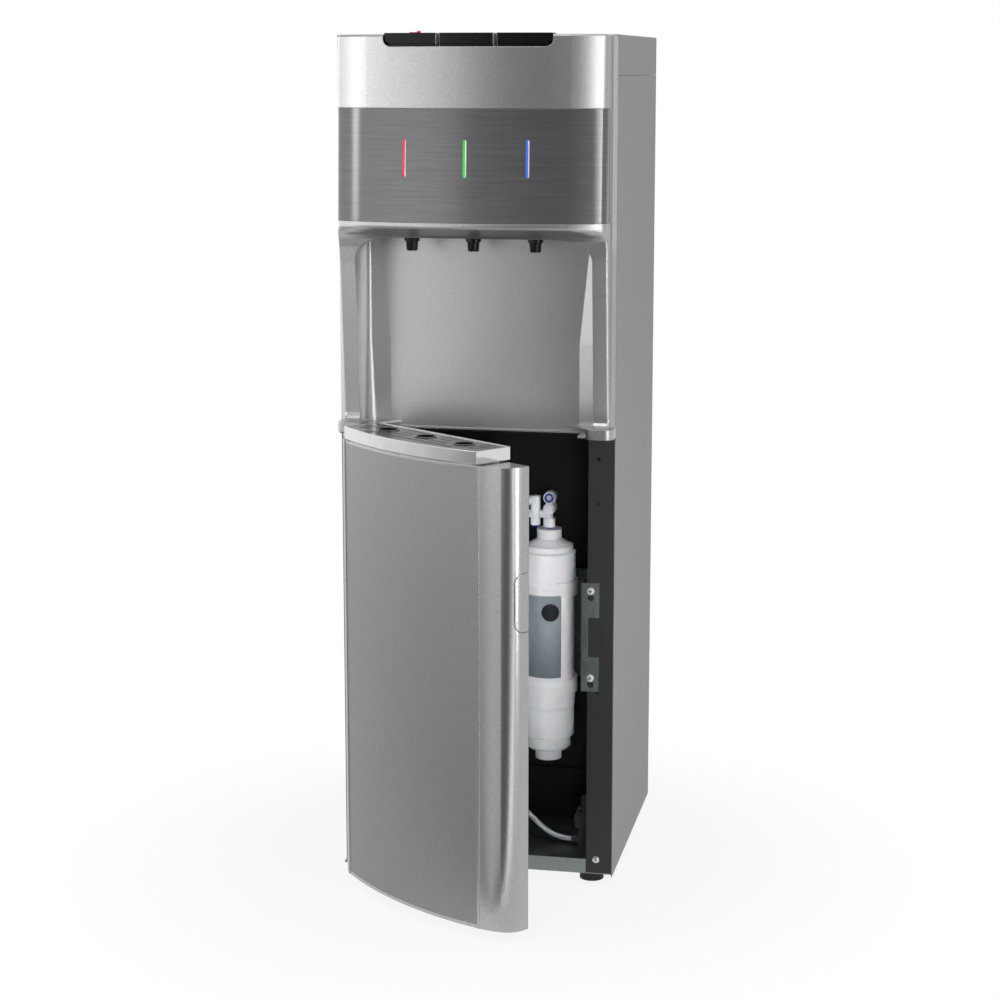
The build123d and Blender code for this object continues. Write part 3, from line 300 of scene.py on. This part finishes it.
# %% The room
scene = bpy.context.scene
scene.view_settings.view_transform = "Standard"
bright_end = 2.2
room_profile = (
    (-180.0, 0.9), (-115.0, 0.9), (-85.0, 0.6), (-56.0, 0.26), (-46.0, 0.55), (-30.0, 0.75),
    (-18.0, 0.68), (-10.5, 0.13), (28.0, 0.15), (42.0, 0.4), (47.0, 2.2), (54.0, 2.0),
    (61.0, 0.9), (90.0, 0.75), (180.0, 0.9),
)
full_turn = 2 * math.pi


def room_round(graph, bearing):
    """How bright the room is at a bearing, as a share of the brightest light in it."""
    stops = [((degrees + 180.0) / 360.0, brightness / bright_end) for degrees, brightness in room_profile]
    return graph.node("ShaderNodeValToRGB", {"stops": stops}, bearing * (1 / full_turn) + 0.5)


print("room", len(room_profile), "bearings")

# %% [markdown]
# ## The world
# Reflections that leave the cooler nearly level, on its left, meet one more soft glow. Every other ray,
# such as the ones that light the inside of the filter bay, sees an even, dimmer world.

# %% The world
world_fill = 0.55
left_glow = 1.3
glow_low, glow_high = 0.08, 0.30
glow_from, glow_to = math.radians(16.0), math.radians(-48.0)

world = bpy.data.worlds.new("studio")
scene.world = world
world.use_nodes = True
sky = Graph(world.node_tree)
direction = sky.node("ShaderNodeTexCoord", {}, out="Generated")
bearing = sky.bearing(sky.part(direction, 0), sky.part(direction, 1) * -1.0)
level = sky.ease(abs(sky.part(direction, 2)), glow_low, glow_high, left_glow, 0.0)
glow = level * sky.ease(bearing, glow_from, glow_to, 0.0, 1.0)
mirrored = sky.ray("Is Glossy Ray").at_least(sky.ray("Is Transmission Ray"))
seen = mirrored * (room_round(sky, bearing) * bright_end + glow) + sky.ray("Is Camera Ray")
other = 1 - mirrored.at_least(sky.ray("Is Camera Ray"))
background = world.node_tree.nodes["Background"]
background.inputs["Color"].default_value = (1.0, 1.0, 1.0, 1.0)
sky.link(background.inputs["Strength"], seen + other * world_fill)
print("world nodes", len(world.node_tree.nodes))

# %% [markdown]
# ## The floor
# The floor is white paper. Close to the cooler the camera sees the paper itself, with the soft shadow on
# it, and further out it turns to plain white. Reflections see the same room as in the world, by the
# bearing from a point just in front of the door, and the bearings on the right are widened a little.

# %% The floor
floor_size = 9.0
floor_drop = 0.0005
paper_near, paper_far = 0.25, 0.6
paper_glow_near = 0.86
mirror_centre = -0.36
right_widening = 0.35

bpy.ops.mesh.primitive_plane_add(size=floor_size, location=(0.0, 0.0, -floor_drop))
floor = bpy.context.object
floor.name = "floor"

paper = Finish("paper", (0.86, 0.86, 0.86), 0.9)
white_light = paper.node("ShaderNodeEmission", {}, (1.0, 1.0, 1.0, 1.0), 1.0)
no_light = paper.node("ShaderNodeEmission", {}, (0.0, 0.0, 0.0, 1.0), 0.0)
bright_light = paper.node("ShaderNodeEmission", {}, (1.0, 1.0, 1.0, 1.0), bright_end)
away = paper.node("ShaderNodeVectorMath", {"operation": "LENGTH"}, paper.place(), out="Value")
open_floor = paper.ease(away, paper_near, paper_far, paper_glow_near, 1.0)
plain_paper = Value(paper, paper.shader.outputs[0])
paper_seen = paper.node(
    "ShaderNodeMixShader", {}, paper.ray("Is Camera Ray") * open_floor, plain_paper, white_light
)
paper_bearing = paper.bearing(paper.axis(0), mirror_centre - paper.axis(1))
paper_bearing = paper_bearing + right_widening * paper_bearing.at_least(0.0)
paper_mirror = paper.node("ShaderNodeMixShader", {}, room_round(paper, paper_bearing), no_light, bright_light)
paper_mirrored = paper.ray("Is Glossy Ray") + paper.ray("Is Transmission Ray")
paper_mix = paper.node("ShaderNodeMixShader", {}, paper_mirrored, paper_seen, paper_mirror)
paper.link(paper.tree.nodes["Material Output"].inputs["Surface"], paper_mix)
floor.data.materials.append(paper.material)
print("floor", floor_size, "m")

# %% [markdown]
# ## The lamps
# Two tall strips draw the narrow highlights down the corners of the head. A large box above lights the
# tops. The niche and the filter bay are hollows that the strips don't reach, so each has a small lamp
# with a tight spread, which shows in no reflection.

# %% The lamps
aim = (0.0, front_edge, 0.55)


def softbox(name, place, size, power, target=aim, spread=180.0, reflected=True):
    """A rectangular lamp that faces a target and isn't seen by the camera."""
    data = bpy.data.lights.new(name, "AREA")
    data.shape = "RECTANGLE"
    data.size, data.size_y = size
    data.energy = power
    data.spread = math.radians(spread)
    lamp = bpy.data.objects.new(name, data)
    scene.collection.objects.link(lamp)
    lamp.location = place
    lamp.rotation_euler = (Vector(target) - Vector(place)).to_track_quat("-Z", "Y").to_euler()
    lamp.visible_camera = False
    lamp.visible_glossy = reflected
    print(name, power, "W")


softbox("left_strip", (-1.60, -1.12, 1.25), (0.20, 0.9), 3.4)
softbox("right_strip", (1.20, -1.05, 0.80), (0.09, 1.6), 5.2)
softbox(
    "niche_fill", (0.85, -1.45, 1.15), (0.4, 0.4), 0.46,
    target=(-0.12, -0.2, 0.74), spread=15.0, reflected=False,
)
softbox("top_box", (-0.2, -1.0, 2.7), (1.6, 1.2), 16.0)
softbox(
    "bay_fill", (0.70, -2.4, 0.70), (0.3, 0.3), 0.52,
    target=(0.07, 0.05, 0.36), spread=18.0, reflected=False,
)

# %% [markdown]
# ## Silver mouldings
# The head and the pillars are plastic with a metallic silver coat. The coat has tiny flakes, which show
# as a fine grain, and every edge of a moulding has a small radius that catches the light. The grain is
# noise. The radius comes from a Bevel node, which rounds the normals where two faces meet. The pillars'
# front faces are flat in the model and turn a little outward on a real moulding, so the finish leans
# their normals outward, more the further they are from the middle.

# %% Silver mouldings
flake = 0.0013
flake_gloss = 0.0016
flake_depth = 0.00002
coat_edge = 0.0012
pillar_bow = 1.1
pillar_foot = (0.565, 0.60)
pillar_head = (0.80, 0.77)

silver = Finish("silver_coat", (0.47, 0.47, 0.48), metallic=1.0)
speckle = silver.noise(flake, 3.0)
silver.texture(speckle, tones=(0.62, 1.38))
silver.set("Roughness", 0.31 + 0.09 * silver.noise(flake_gloss))
bowed = silver.ease(silver.axis(2), *pillar_foot, 0.0, 1.0)
bowed = bowed * silver.ease(silver.axis(2), *pillar_head, 0.0, 1.0)
outward = silver.node("ShaderNodeCombineXYZ", {}, pillar_bow * silver.axis(0) * bowed)
rounded = silver.node("ShaderNodeBevel", {"samples": 4}, Radius=coat_edge)
leaning = silver.node("ShaderNodeVectorMath", {"operation": "ADD"}, rounded, outward)
leaning = silver.node("ShaderNodeVectorMath", {"operation": "NORMALIZE"}, leaning)
silver.set("Normal", silver.node("ShaderNodeBump", {}, Height=speckle, Distance=flake_depth, Normal=leaning))
dress(silver, "front_shell")

# %% [markdown]
# ## The door
# The door's frame wraps round its free edge in one tight bend, and its coat is smoother than the head's,
# so the bend shows the room as crisp upright bands. The front between the frame's ribs is a thin sheet
# with a satin metallic paint, a little darker than the mouldings. The liner behind it is plain plastic.

# %% The door
wrap = Finish("door_silver", (0.47, 0.47, 0.48), metallic=1.0)
wrap.texture(wrap.noise(flake, 3.0), tones=(0.72, 1.28), depth=0.000008, edge=coat_edge)
wrap.set("Roughness", 0.20 + 0.08 * wrap.noise(flake_gloss))
dress(wrap, "door_shell", "door_grip")

door_paint = Finish("door_paint", (0.28, 0.28, 0.285), metallic=0.85)
door_paint.texture(door_paint.noise(flake, 3.0), tones=(0.75, 1.25), depth=flake_depth, edge=0.0006)
door_paint.set("Roughness", 0.38 + 0.10 * door_paint.noise(flake_gloss))
dress(door_paint, "door_panel")

liner = Finish("door_lining", (0.18, 0.18, 0.19), 0.5)
liner.texture(liner.noise(0.0012, 3.0), tones=(0.9, 1.1), depth=0.00004, edge=0.001)
dress(liner, "door_liner")

# %% [markdown]
# ## Brushed steel
# The fascia is brushed along its length, so its scratches are long and level. Noise that is squeezed
# along X and Y, and not along Z, draws such lines, also where the sheet turns the corners. Scratches
# spread a highlight across themselves and hardly along themselves. The Anisotropic socket does that, and
# a quarter turn of its rotation makes the highlights tall and narrow.

# %% Brushed steel
brushed = Finish(
    "brushed_steel", (0.10, 0.10, 0.104),
    metallic=0.45, Anisotropic=0.92, Anisotropic_Rotation=0.25, IOR=2.0,
)
scratch = brushed.noise(0.0007, 4.0, (0.012, 0.012, 1.0))
wave = brushed.noise(0.004, 2.0, (0.03, 0.03, 1.0))
brushed.texture(scratch * 0.7 + wave * 0.3, tones=(0.30, 1.70))
brushed.texture(scratch, roughness=(0.19, 0.05), depth=0.00001, edge=0.0005)
dress(brushed, "fascia_panel")

# %% [markdown]
# ## The niche
# The niche liner has the same metallic look as the head with a finer grain. Because it is metallic, its
# flat back shades from left to right with the room, and each flute shows one upright highlight.

# %% The niche
niche = Finish("niche_grain", (0.50, 0.50, 0.51), metallic=0.92)
niche.texture(niche.noise(0.0011, 3.0), tones=(0.70, 1.30), depth=0.00003, edge=coat_edge)
niche.set("Roughness", 0.30 + 0.09 * niche.noise(0.002))
dress(niche, "niche_liner")

# %% [markdown]
# ## Painted sheet
# The side panels and the cap are grey outside. Inside, the cabinet is black, so the paint looks at how
# far a point lies from the middle of the cabinet: the outer skin is grey and what lies within is black.
# The corner posts have a coarser paint with the dimples of orange peel.

# %% Painted sheet
skin_depth = 0.0005
cap_height = 0.048
inside_black = (0.012, 0.012, 0.012, 1.0)

side = Finish("side_paint", (0.20, 0.20, 0.208), 0.45)
skin = abs(side.axis(0)) > (half_width - skin_depth)
outside = skin.at_least(side.axis(2) > (top - cap_height))
peel = side.noise(0.0012)
side.set("Base Color", side.blend(outside, inside_black, side.shade(peel, 0.88, 1.12)))
side.relief(peel, 0.00002, 0.0006)
dress(side, "side_panel_left", "side_panel_right", "top_cover")

post = Finish("post_paint", (0.015, 0.015, 0.016), 0.45)
post.texture(post.noise(0.0015, 3.0), tones=(0.8, 1.2), depth=0.00005, edge=0.0005)
dress(post, "post_left", "post_right")

bay = Finish("bay_black", (0.006, 0.006, 0.006))
bay.texture(bay.noise(0.02, 3.0), tones=(0.6, 1.4), roughness=(0.5, 0.2))
dress(bay, "partition", "mid_shelf")

# %% [markdown]
# ## Zinc, steel and copper
# Galvanised sheet shows spangle: flat crystals of zinc, each a slightly different grey. Voronoi cells
# are such crystals, and the cell's own colour gives the tone. Drawn steel has fine lines along the draw,
# and copper tarnishes in soft patches.

# %% Zinc, steel and copper
crystals_per_metre = 180.0
crystal_stretch = (1.0, 1.0, 0.35)

zinc = Finish("zinc_spangle", (0.24, 0.27, 0.26), metallic=0.9)
crystal = zinc.node(
    "ShaderNodeTexVoronoi", {}, out="Color", Vector=zinc.stretched(crystal_stretch), Scale=crystals_per_metre
)
crystal_tone = zinc.node("ShaderNodeSeparateColor", {}, crystal)
zinc.texture(crystal_tone * 0.7 + zinc.noise(0.003) * 0.3, tones=(0.82, 1.14))
zinc.texture(crystal_tone, roughness=(0.30, 0.20), depth=0.00002, edge=0.0004)
dress(zinc, "rear_panel", "base_pan", "tank_shelf", "filter_bracket", "hinge_plates")

bright = Finish("bright_zinc", (0.70, 0.74, 0.78), metallic=0.6)
bright.texture(bright.noise(0.001), roughness=(0.22, 0.16))
dress(bright, "frame_fasteners", "hinge_pins")

drawn = Finish("drawn_steel", (0.55, 0.55, 0.56), metallic=1.0)
drawn.texture(drawn.noise(0.0015, 3.0, (1.0, 1.0, 0.05)), roughness=(0.22, 0.2))
dress(drawn, "cold_tank", "hot_tank")

copper = Finish("copper", (0.72, 0.38, 0.24), 0.28, metallic=1.0)
copper.texture(copper.noise(0.012, 3.0), tones=(0.7, 1.15))
dress(copper, "evaporator_band", "filter_drier")

# %% [markdown]
# ## Chrome
# The drip tray and its grille are plated plastic. Plating is a mirror with hardly any roughness, and
# what gives it away is the thin film of handling on it. The floor of the tray and the walls of the
# grille's slots are painted black and not metallic: painted shade for the dark hollows under the grille.

# %% Chrome
tray_floor_height = 0.008
floor_shade_colour = (0.012, 0.012, 0.013, 1.0)
slot_shade_colour = (0.01, 0.01, 0.011, 1.0)

chrome = Finish("tray_plating_and_floor_shade", (0.82, 0.82, 0.84))
chrome.texture(chrome.noise(0.02, 3.0), roughness=(0.07, 0.12), depth=0.00002, edge=0.0008)
# The tray's floor is painted black and not metallic: painted shade under the grille.
shaded_tray_floor = chrome.facing_up() * (chrome.axis(2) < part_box("drip_tray")[0].z + tray_floor_height)
chrome.set("Base Color", chrome.blend(shaded_tray_floor, chrome.color, floor_shade_colour))
chrome.set("Metallic", 1 - shaded_tray_floor)
dress(chrome, "drip_tray")

grille = Finish("grille_plating_and_slot_shade", (0.36, 0.36, 0.37))
grille_film = grille.noise(0.006, 3.0)
grille.texture(grille_film, roughness=(0.10, 0.16), depth=0.00003, edge=0.0008)
# Every face of the grille that doesn't face up is painted black: painted shade in its slots.
shaded_slot_wall = 1 - grille.facing_up()
grille.set("Base Color", grille.blend(shaded_slot_wall, grille.shade(grille_film, 0.75, 1.25), slot_shade_colour))
grille.set("Metallic", 1 - shaded_slot_wall)
dress(grille, "drip_grille")

# %% [markdown]
# ## Polished black plastics
# Nozzles, compressor and condenser are glossy black. The keys are glossy too, and the two edges at each
# gap between them are painted paler, a painted highlight for the light that their rounded edges catch.

# %% Polished black plastics
gloss_black = Finish("gloss_black", (0.004, 0.004, 0.005), IOR=1.3)
gloss_black.texture(gloss_black.noise(0.03, 2.0), roughness=(0.08, 0.10), depth=0.00001, edge=0.0008)
dress(gloss_black, "tap_nozzles", "compressor", "condenser")

key_highlight_reach = 0.0025
key_highlight_colour = (0.30, 0.30, 0.31, 1.0)
key_gap = (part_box("normal_key")[1].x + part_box("cold_key")[0].x) / 2
key_black_and_highlight = Finish("key_black_and_highlight", (0.0035, 0.0035, 0.004), IOR=1.3)
key_black_and_highlight.texture(key_black_and_highlight.noise(0.015, 2.0), roughness=(0.24, 0.10), depth=0.00001, edge=0.0008)
# A band beside each gap between the keys is painted pale: a painted highlight, not wear.
key_highlight_mask = abs(abs(key_black_and_highlight.axis(0)) - key_gap) < key_highlight_reach
key_black_and_highlight.set("Base Color", key_black_and_highlight.blend(key_highlight_mask, key_black_and_highlight.color, key_highlight_colour))
dress(key_black_and_highlight, "hot_key", "normal_key", "cold_key", "key_housing")

# %% [markdown]
# ## Matt black plastics and rubber
# Housings and switch frames are moulded against a spark-eroded die, which leaves a fine matt grain.
# Rubber is duller still, with a pale bloom in patches.

# %% Matt black plastics and rubber
matt_black = Finish("matt_black", (0.022, 0.022, 0.023), 0.5)
matt_black.texture(matt_black.noise(0.0008, 3.0), tones=(0.8, 1.2), depth=0.00005, edge=0.0005)
dress(matt_black, "mains_inlet", "switch_frames", "thermostats", "key_switches", "hot_tank_jacket")

rubber = Finish("rubber", (0.018, 0.018, 0.018), 0.75)
rubber.texture(rubber.noise(0.004, 4.0), tones=(0.7, 1.4))
dress(rubber, "feet", "compressor_mounts", "door_magnet")

valve = Finish("valve_plastic", (0.075, 0.075, 0.08), 0.5)
valve.texture(valve.noise(0.001, 3.0), tones=(0.8, 1.2), depth=0.00004, edge=0.0006)
dress(valve, "leak_valve")

# %% [markdown]
# ## White plastics and foam
# Cartridges, clips and fittings are white polypropylene: glossy, slightly bluish, and a little
# translucent, so some light goes in and comes out again nearby. That is what Subsurface does. The
# foam round the cold tank is cut by hand, and its open cells are a deep, soft relief.

# %% White plastics and foam
white = Finish("filter_white", (0.84, 0.84, 0.87), Subsurface_Weight=0.08, Subsurface_Scale=0.004)
white.texture(
    white.noise(0.03, 2.0), tones=(0.97, 1.03), roughness=(0.22, 0.14), depth=0.00002, edge=0.0006
)
dress(white, "carbon_filter", "sediment_filter", "filter_clips", "filter_elbows", "dispense_valves")
dress(white, "water_inlet", "drain_outlets", "valve_tube")

foam = Finish("foam", (0.80, 0.78, 0.70), 0.9)
foam.texture(foam.noise(0.003, 4.0), tones=(0.88, 1.08), depth=0.0004)
dress(foam, "tank_insulation")

# %% [markdown]
# ## Small pieces in one colour
# Collets, switches, the child lock and the board are small mouldings in one colour. Their polish is a
# little uneven.


# %% Small pieces in one colour
def coloured(name, color, roughness, *names):
    """A small moulding in one colour with a little uneven polish."""
    finish = Finish(name, color, roughness)
    finish.texture(finish.noise(0.004, 2.0), tones=(0.92, 1.08), depth=0.00001, edge=0.0004)
    dress(finish, *names)
    return finish


coloured("lock_red", (0.62, 0.012, 0.02), 0.3, "child_lock")
coloured("collet_blue", (0.02, 0.05, 0.32), 0.35, "filter_collets")
coloured("switch_red", (0.45, 0.02, 0.02), 0.35, "hot_switch")
coloured("switch_green", (0.02, 0.28, 0.06), 0.35, "cold_switch")
coloured("board_green", (0.01, 0.10, 0.035), 0.5, "control_board")

# %% [markdown]
# ## Light bars
# The bars are clear mouldings that are lit from behind, so they give a little light of their own. Their
# right edge is painted pale, a painted highlight in a thin line down it.

# %% Light bars
bar_margin = 0.0007
bar_edge_width = 0.0009
bar_light = 0.35
bar_highlight_colour = (0.70, 0.62, 0.66, 1.0)
lens_finishes = {}
for light_name, light_color in (
    ("light_hot", (0.48, 0.010, 0.03)),
    ("light_warm", (0.03, 0.42, 0.04)),
    ("light_cold", (0.03, 0.11, 0.52)),
):
    lens_finish = coloured(light_name + "_lens", light_color, 0.25, light_name)
    lens_finish.set("Emission Color", (*light_color, 1.0))
    lens_finish.set("Emission Strength", bar_light)
    # A thin strip down the right edge of each bar is painted pale: a painted highlight.
    bar_highlight_mask = lens_finish.axis(0) > (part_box(light_name)[1].x + bar_margin - bar_edge_width)
    lens_finish.set("Base Color", lens_finish.blend(bar_highlight_mask, lens_finish.color, bar_highlight_colour))
    lens_finishes[light_name] = lens_finish

# %% [markdown]
# ## Building small pieces
# A few pieces are too thin to be worth a solid in the packed model. Each one is a list of points and a
# list of faces. Sheets get their thickness from a Solidify modifier, and round pieces come from one
# helper that walks out from the middle ring by ring.


# %% Building small pieces
def build(name, points, faces, finish, body, thickness=0.0, smooth=True):
    """Makes a piece from points and faces, gives it a finish and lets it ride on a body."""
    mesh = bpy.data.meshes.new(name)
    mesh.from_pydata(points, [], faces)
    mesh.update()
    for face in mesh.polygons:
        face.use_smooth = smooth and len(face.vertices) <= 4
    piece = bpy.data.objects.new(name, mesh)
    scene.collection.objects.link(piece)
    mesh.materials.append(finish.material)
    if thickness:
        solid = piece.modifiers.new("thickness", "SOLIDIFY")
        solid.thickness = thickness
        solid.offset = 1.0
    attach(piece, body)
    print(name, len(points), "points")


def disc(place, rings, steps):
    """A round sheet. place gives the point at a share of the radius and an angle."""
    points = [place(0.0, 0.0)]
    for ring in range(1, rings + 1):
        points += [place(ring / rings, full_turn * step / steps) for step in range(steps)]
    faces = [(0, 1 + step, 1 + (step + 1) % steps) for step in range(steps)]
    for inner in range(1, 1 + (rings - 1) * steps, steps):
        outer = inner + steps
        for step in range(steps):
            following = (step + 1) % steps
            faces.append((inner + step, outer + step, outer + following, inner + following))
    return points, faces


def joined(parts):
    """Several parts, each with points and faces, as one."""
    points = []
    faces = []
    for part_points, part_faces in parts:
        start = len(points)
        points += part_points
        faces += [tuple(start + corner for corner in face) for face in part_faces]
    return points, faces


# %% [markdown]
# ## Covers of the light bars
# Each bar has a long rounded cover that stands a little proud of the fascia. The fascia is curved and
# leans, so the cover takes its depth from the fascia itself: a ray is sent back on each side of the bar
# at every row of points, and the row lies between the two places where the rays land.

# %% Covers of the light bars
bar_bulge = 0.0010
bar_root = 0.0008
bar_columns = 8
end_rows = 5
middle_rows = 10
ray_start = 0.1
ray_margin = 0.0003
tip_width = 0.25
tip_bulge = 0.15


def fascia_depth(x, z):
    """How far forward the face of the fascia lies at a place across and up."""
    start = Vector((x, cad_low.y - ray_start, z))
    found, hit, *_ = nodes["fascia_panel"].ray_cast(start, Vector((0.0, 1.0, 0.0)))
    if not found:
        raise ValueError(f"no fascia at {x}, {z}")
    return hit.y


def cover_rows(length, half):
    """How far up the cover each row lies, closer together in its rounded ends."""
    end = [half * (1 - math.cos(math.pi / 2 * i / end_rows)) for i in range(end_rows + 1)]
    middle = [half + (length - 2 * half) * i / middle_rows for i in range(1, middle_rows)]
    return end + middle + [length - rise for rise in reversed(end)]


def cover_points(name):
    """The points of a cover, first its proud face and then its root, row by row."""
    low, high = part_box(name)
    half = (high.x - low.x) / 2 + bar_margin
    centre = (high.x + low.x) / 2
    length = high.z - low.z + 2 * bar_margin
    for proud_face in (True, False):
        for rise in cover_rows(length, half):
            from_end = min(rise, length - rise, half)
            width = max(math.sqrt(half**2 - (half - from_end) ** 2), tip_width * half)
            z = low.z - bar_margin + rise
            left, right = (fascia_depth(centre + side_of * (half + ray_margin), z) for side_of in (-1, 1))
            for column in range(bar_columns + 1):
                across = 2 * column / bar_columns - 1
                x = centre + width * across
                surface = left + (right - left) * (x - centre + half) / (2 * half)
                bulge = bar_bulge * (1 - across**4) * min(1.0, from_end / half + tip_bulge)
                yield x, surface - (bulge if proud_face else -bar_root), z


def cover_faces(rows):
    """The faces of a closed cover: its proud face, its root, its two sides and its two ends."""
    row = bar_columns + 1
    root = row * rows
    faces = []
    for left in range(0, root - row, row):
        for near in range(left, left + bar_columns):
            faces.append((near, near + 1, near + 1 + row, near + row))
            faces.append((root + near, root + near + row, root + near + 1 + row, root + near + 1))
        right = left + bar_columns
        faces.append((left, left + row, root + left + row, root + left))
        faces.append((root + right, root + right + row, right + row, right))
    for foot in range(bar_columns):
        head = root - row + foot
        faces.append((foot + 1, foot, root + foot, root + foot + 1))
        faces.append((root + head + 1, root + head, head, head + 1))
    return faces


for light_name, lens_finish in lens_finishes.items():
    cover = list(cover_points(light_name))
    rows = len(cover) // (2 * (bar_columns + 1))
    build(light_name + "_cover", cover, cover_faces(rows), lens_finish, "cabinet")

# %% [markdown]
# ## The label
# The front cartridge carries a plain blue-grey label, a thin sheet bent round it, with a dark round spot
# printed on it. Their points are given as an angle round the cartridge and a height.

# %% The label
cartridge_low, cartridge_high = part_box("carbon_filter")
cartridge_axis = (cartridge_low + cartridge_high) / 2
cartridge_waist = 0.0012
label_radius = (cartridge_high.x - cartridge_low.x) / 2 - cartridge_waist
label_bottom, label_top = 0.228, 0.336
label_left, label_right = math.radians(-78.0), math.radians(38.0)
label_columns = 40
label_gap = 0.00005
label_sheet = 0.0002
spot_angle = math.radians(13.0)
spot_z = 0.3145
spot_radius = 0.0115
spot_rings = 4
spot_steps = 40
spot_gap = 0.0003
spot_sheet = 0.0001


def on_cartridge(angle, z, proud):
    """A point on the cartridge, by its angle from straight ahead, its height and how far it stands proud."""
    reach = label_radius + proud
    return (cartridge_axis.x + reach * math.sin(angle), cartridge_axis.y - reach * math.cos(angle), z)


def on_spot(share, turned):
    """A point of the spot, bent round the cartridge."""
    angle = spot_angle + spot_radius * share * math.cos(turned) / label_radius
    return on_cartridge(angle, spot_z + spot_radius * share * math.sin(turned), spot_gap)


label_paper = Finish("label_paper", (0.24, 0.28, 0.31))
label_paper.texture(label_paper.noise(0.012, 3.0), tones=(0.86, 1.16), roughness=(0.30, 0.12))
angles = [label_left + (label_right - label_left) * i / label_columns for i in range(label_columns + 1)]
label_points = [on_cartridge(angle, z, label_gap) for z in (label_bottom, label_top) for angle in angles]
row = label_columns + 1
label_faces = [(i, i + 1, i + 1 + row, i + row) for i in range(label_columns)]
build("filter_label", label_points, label_faces, label_paper, "cabinet", label_sheet)

ink_and_recess_shade = Finish("ink_and_recess_shade", (0.012, 0.014, 0.016))
ink_and_recess_shade.texture(ink_and_recess_shade.noise(0.004, 3.0), tones=(0.7, 1.4), roughness=(0.30, 0.12))
build("label_spot", *disc(on_spot, spot_rings, spot_steps), ink_and_recess_shade, "cabinet", spot_sheet)

# %% [markdown]
# ## Screw heads
# The packed screws have flat heads. Each gets a rounded face, a shallow dome with a closed back, and a
# cross recess: a small dark cross, painted shade for the hollow of the recess, that lies in the dome
# with its face just clear of it.

# %% Screw heads
screw_places = ((0.14145, -0.07369, 0.2647), (0.14145, -0.07369, 0.3738), (0.150, -0.07079, 0.032))
dome_radius = 0.0043
dome_rise = 0.0011
dome_rings = 5
dome_steps = 32
recess_reach = 0.0021
recess_half = 0.00045
recess_proud = 0.00002
recess_depth = 0.00108
near, far = recess_half, recess_reach
cross = (
    (far, near), (near, near), (near, far), (-near, far), (-near, near), (-far, near),
    (-far, -near), (-near, -near), (-near, -far), (near, -far), (near, -near), (far, -near),
)


def dome(x, y, z):
    """The rounded face of a screw, with a flat back."""

    def on_dome(share, turned):
        reach = dome_radius * share
        return (x + reach * math.cos(turned), y - dome_rise * (1 - share**2), z + reach * math.sin(turned))

    points, faces = disc(on_dome, dome_rings, dome_steps)
    faces.append(tuple(reversed(range(len(points) - dome_steps, len(points)))))
    return points, faces


def recess(x, y, z):
    """A dark cross in the middle of a dome: painted shade that stands for a cross recess."""
    points = []
    for back in (-recess_proud, recess_depth):
        points += [(x + across, y - dome_rise + back, z + up) for across, up in cross]
    corners = len(cross)
    faces = [tuple(range(corners)), tuple(reversed(range(corners, 2 * corners)))]
    for i in range(corners):
        j = (i + 1) % corners
        faces.append((j, i, corners + i, corners + j))
    return points, faces


build("screw_domes", *joined(dome(*place) for place in screw_places), bright, "cabinet")
# The crosses take the dark ink of the label's spot: painted shade where a real recess is a shaded hollow.
build("screw_recess_shade", *joined(recess(*place) for place in screw_places), ink_and_recess_shade, "cabinet", smooth=False)

print("undressed", [name for name, node in nodes.items() if not node.data.materials])
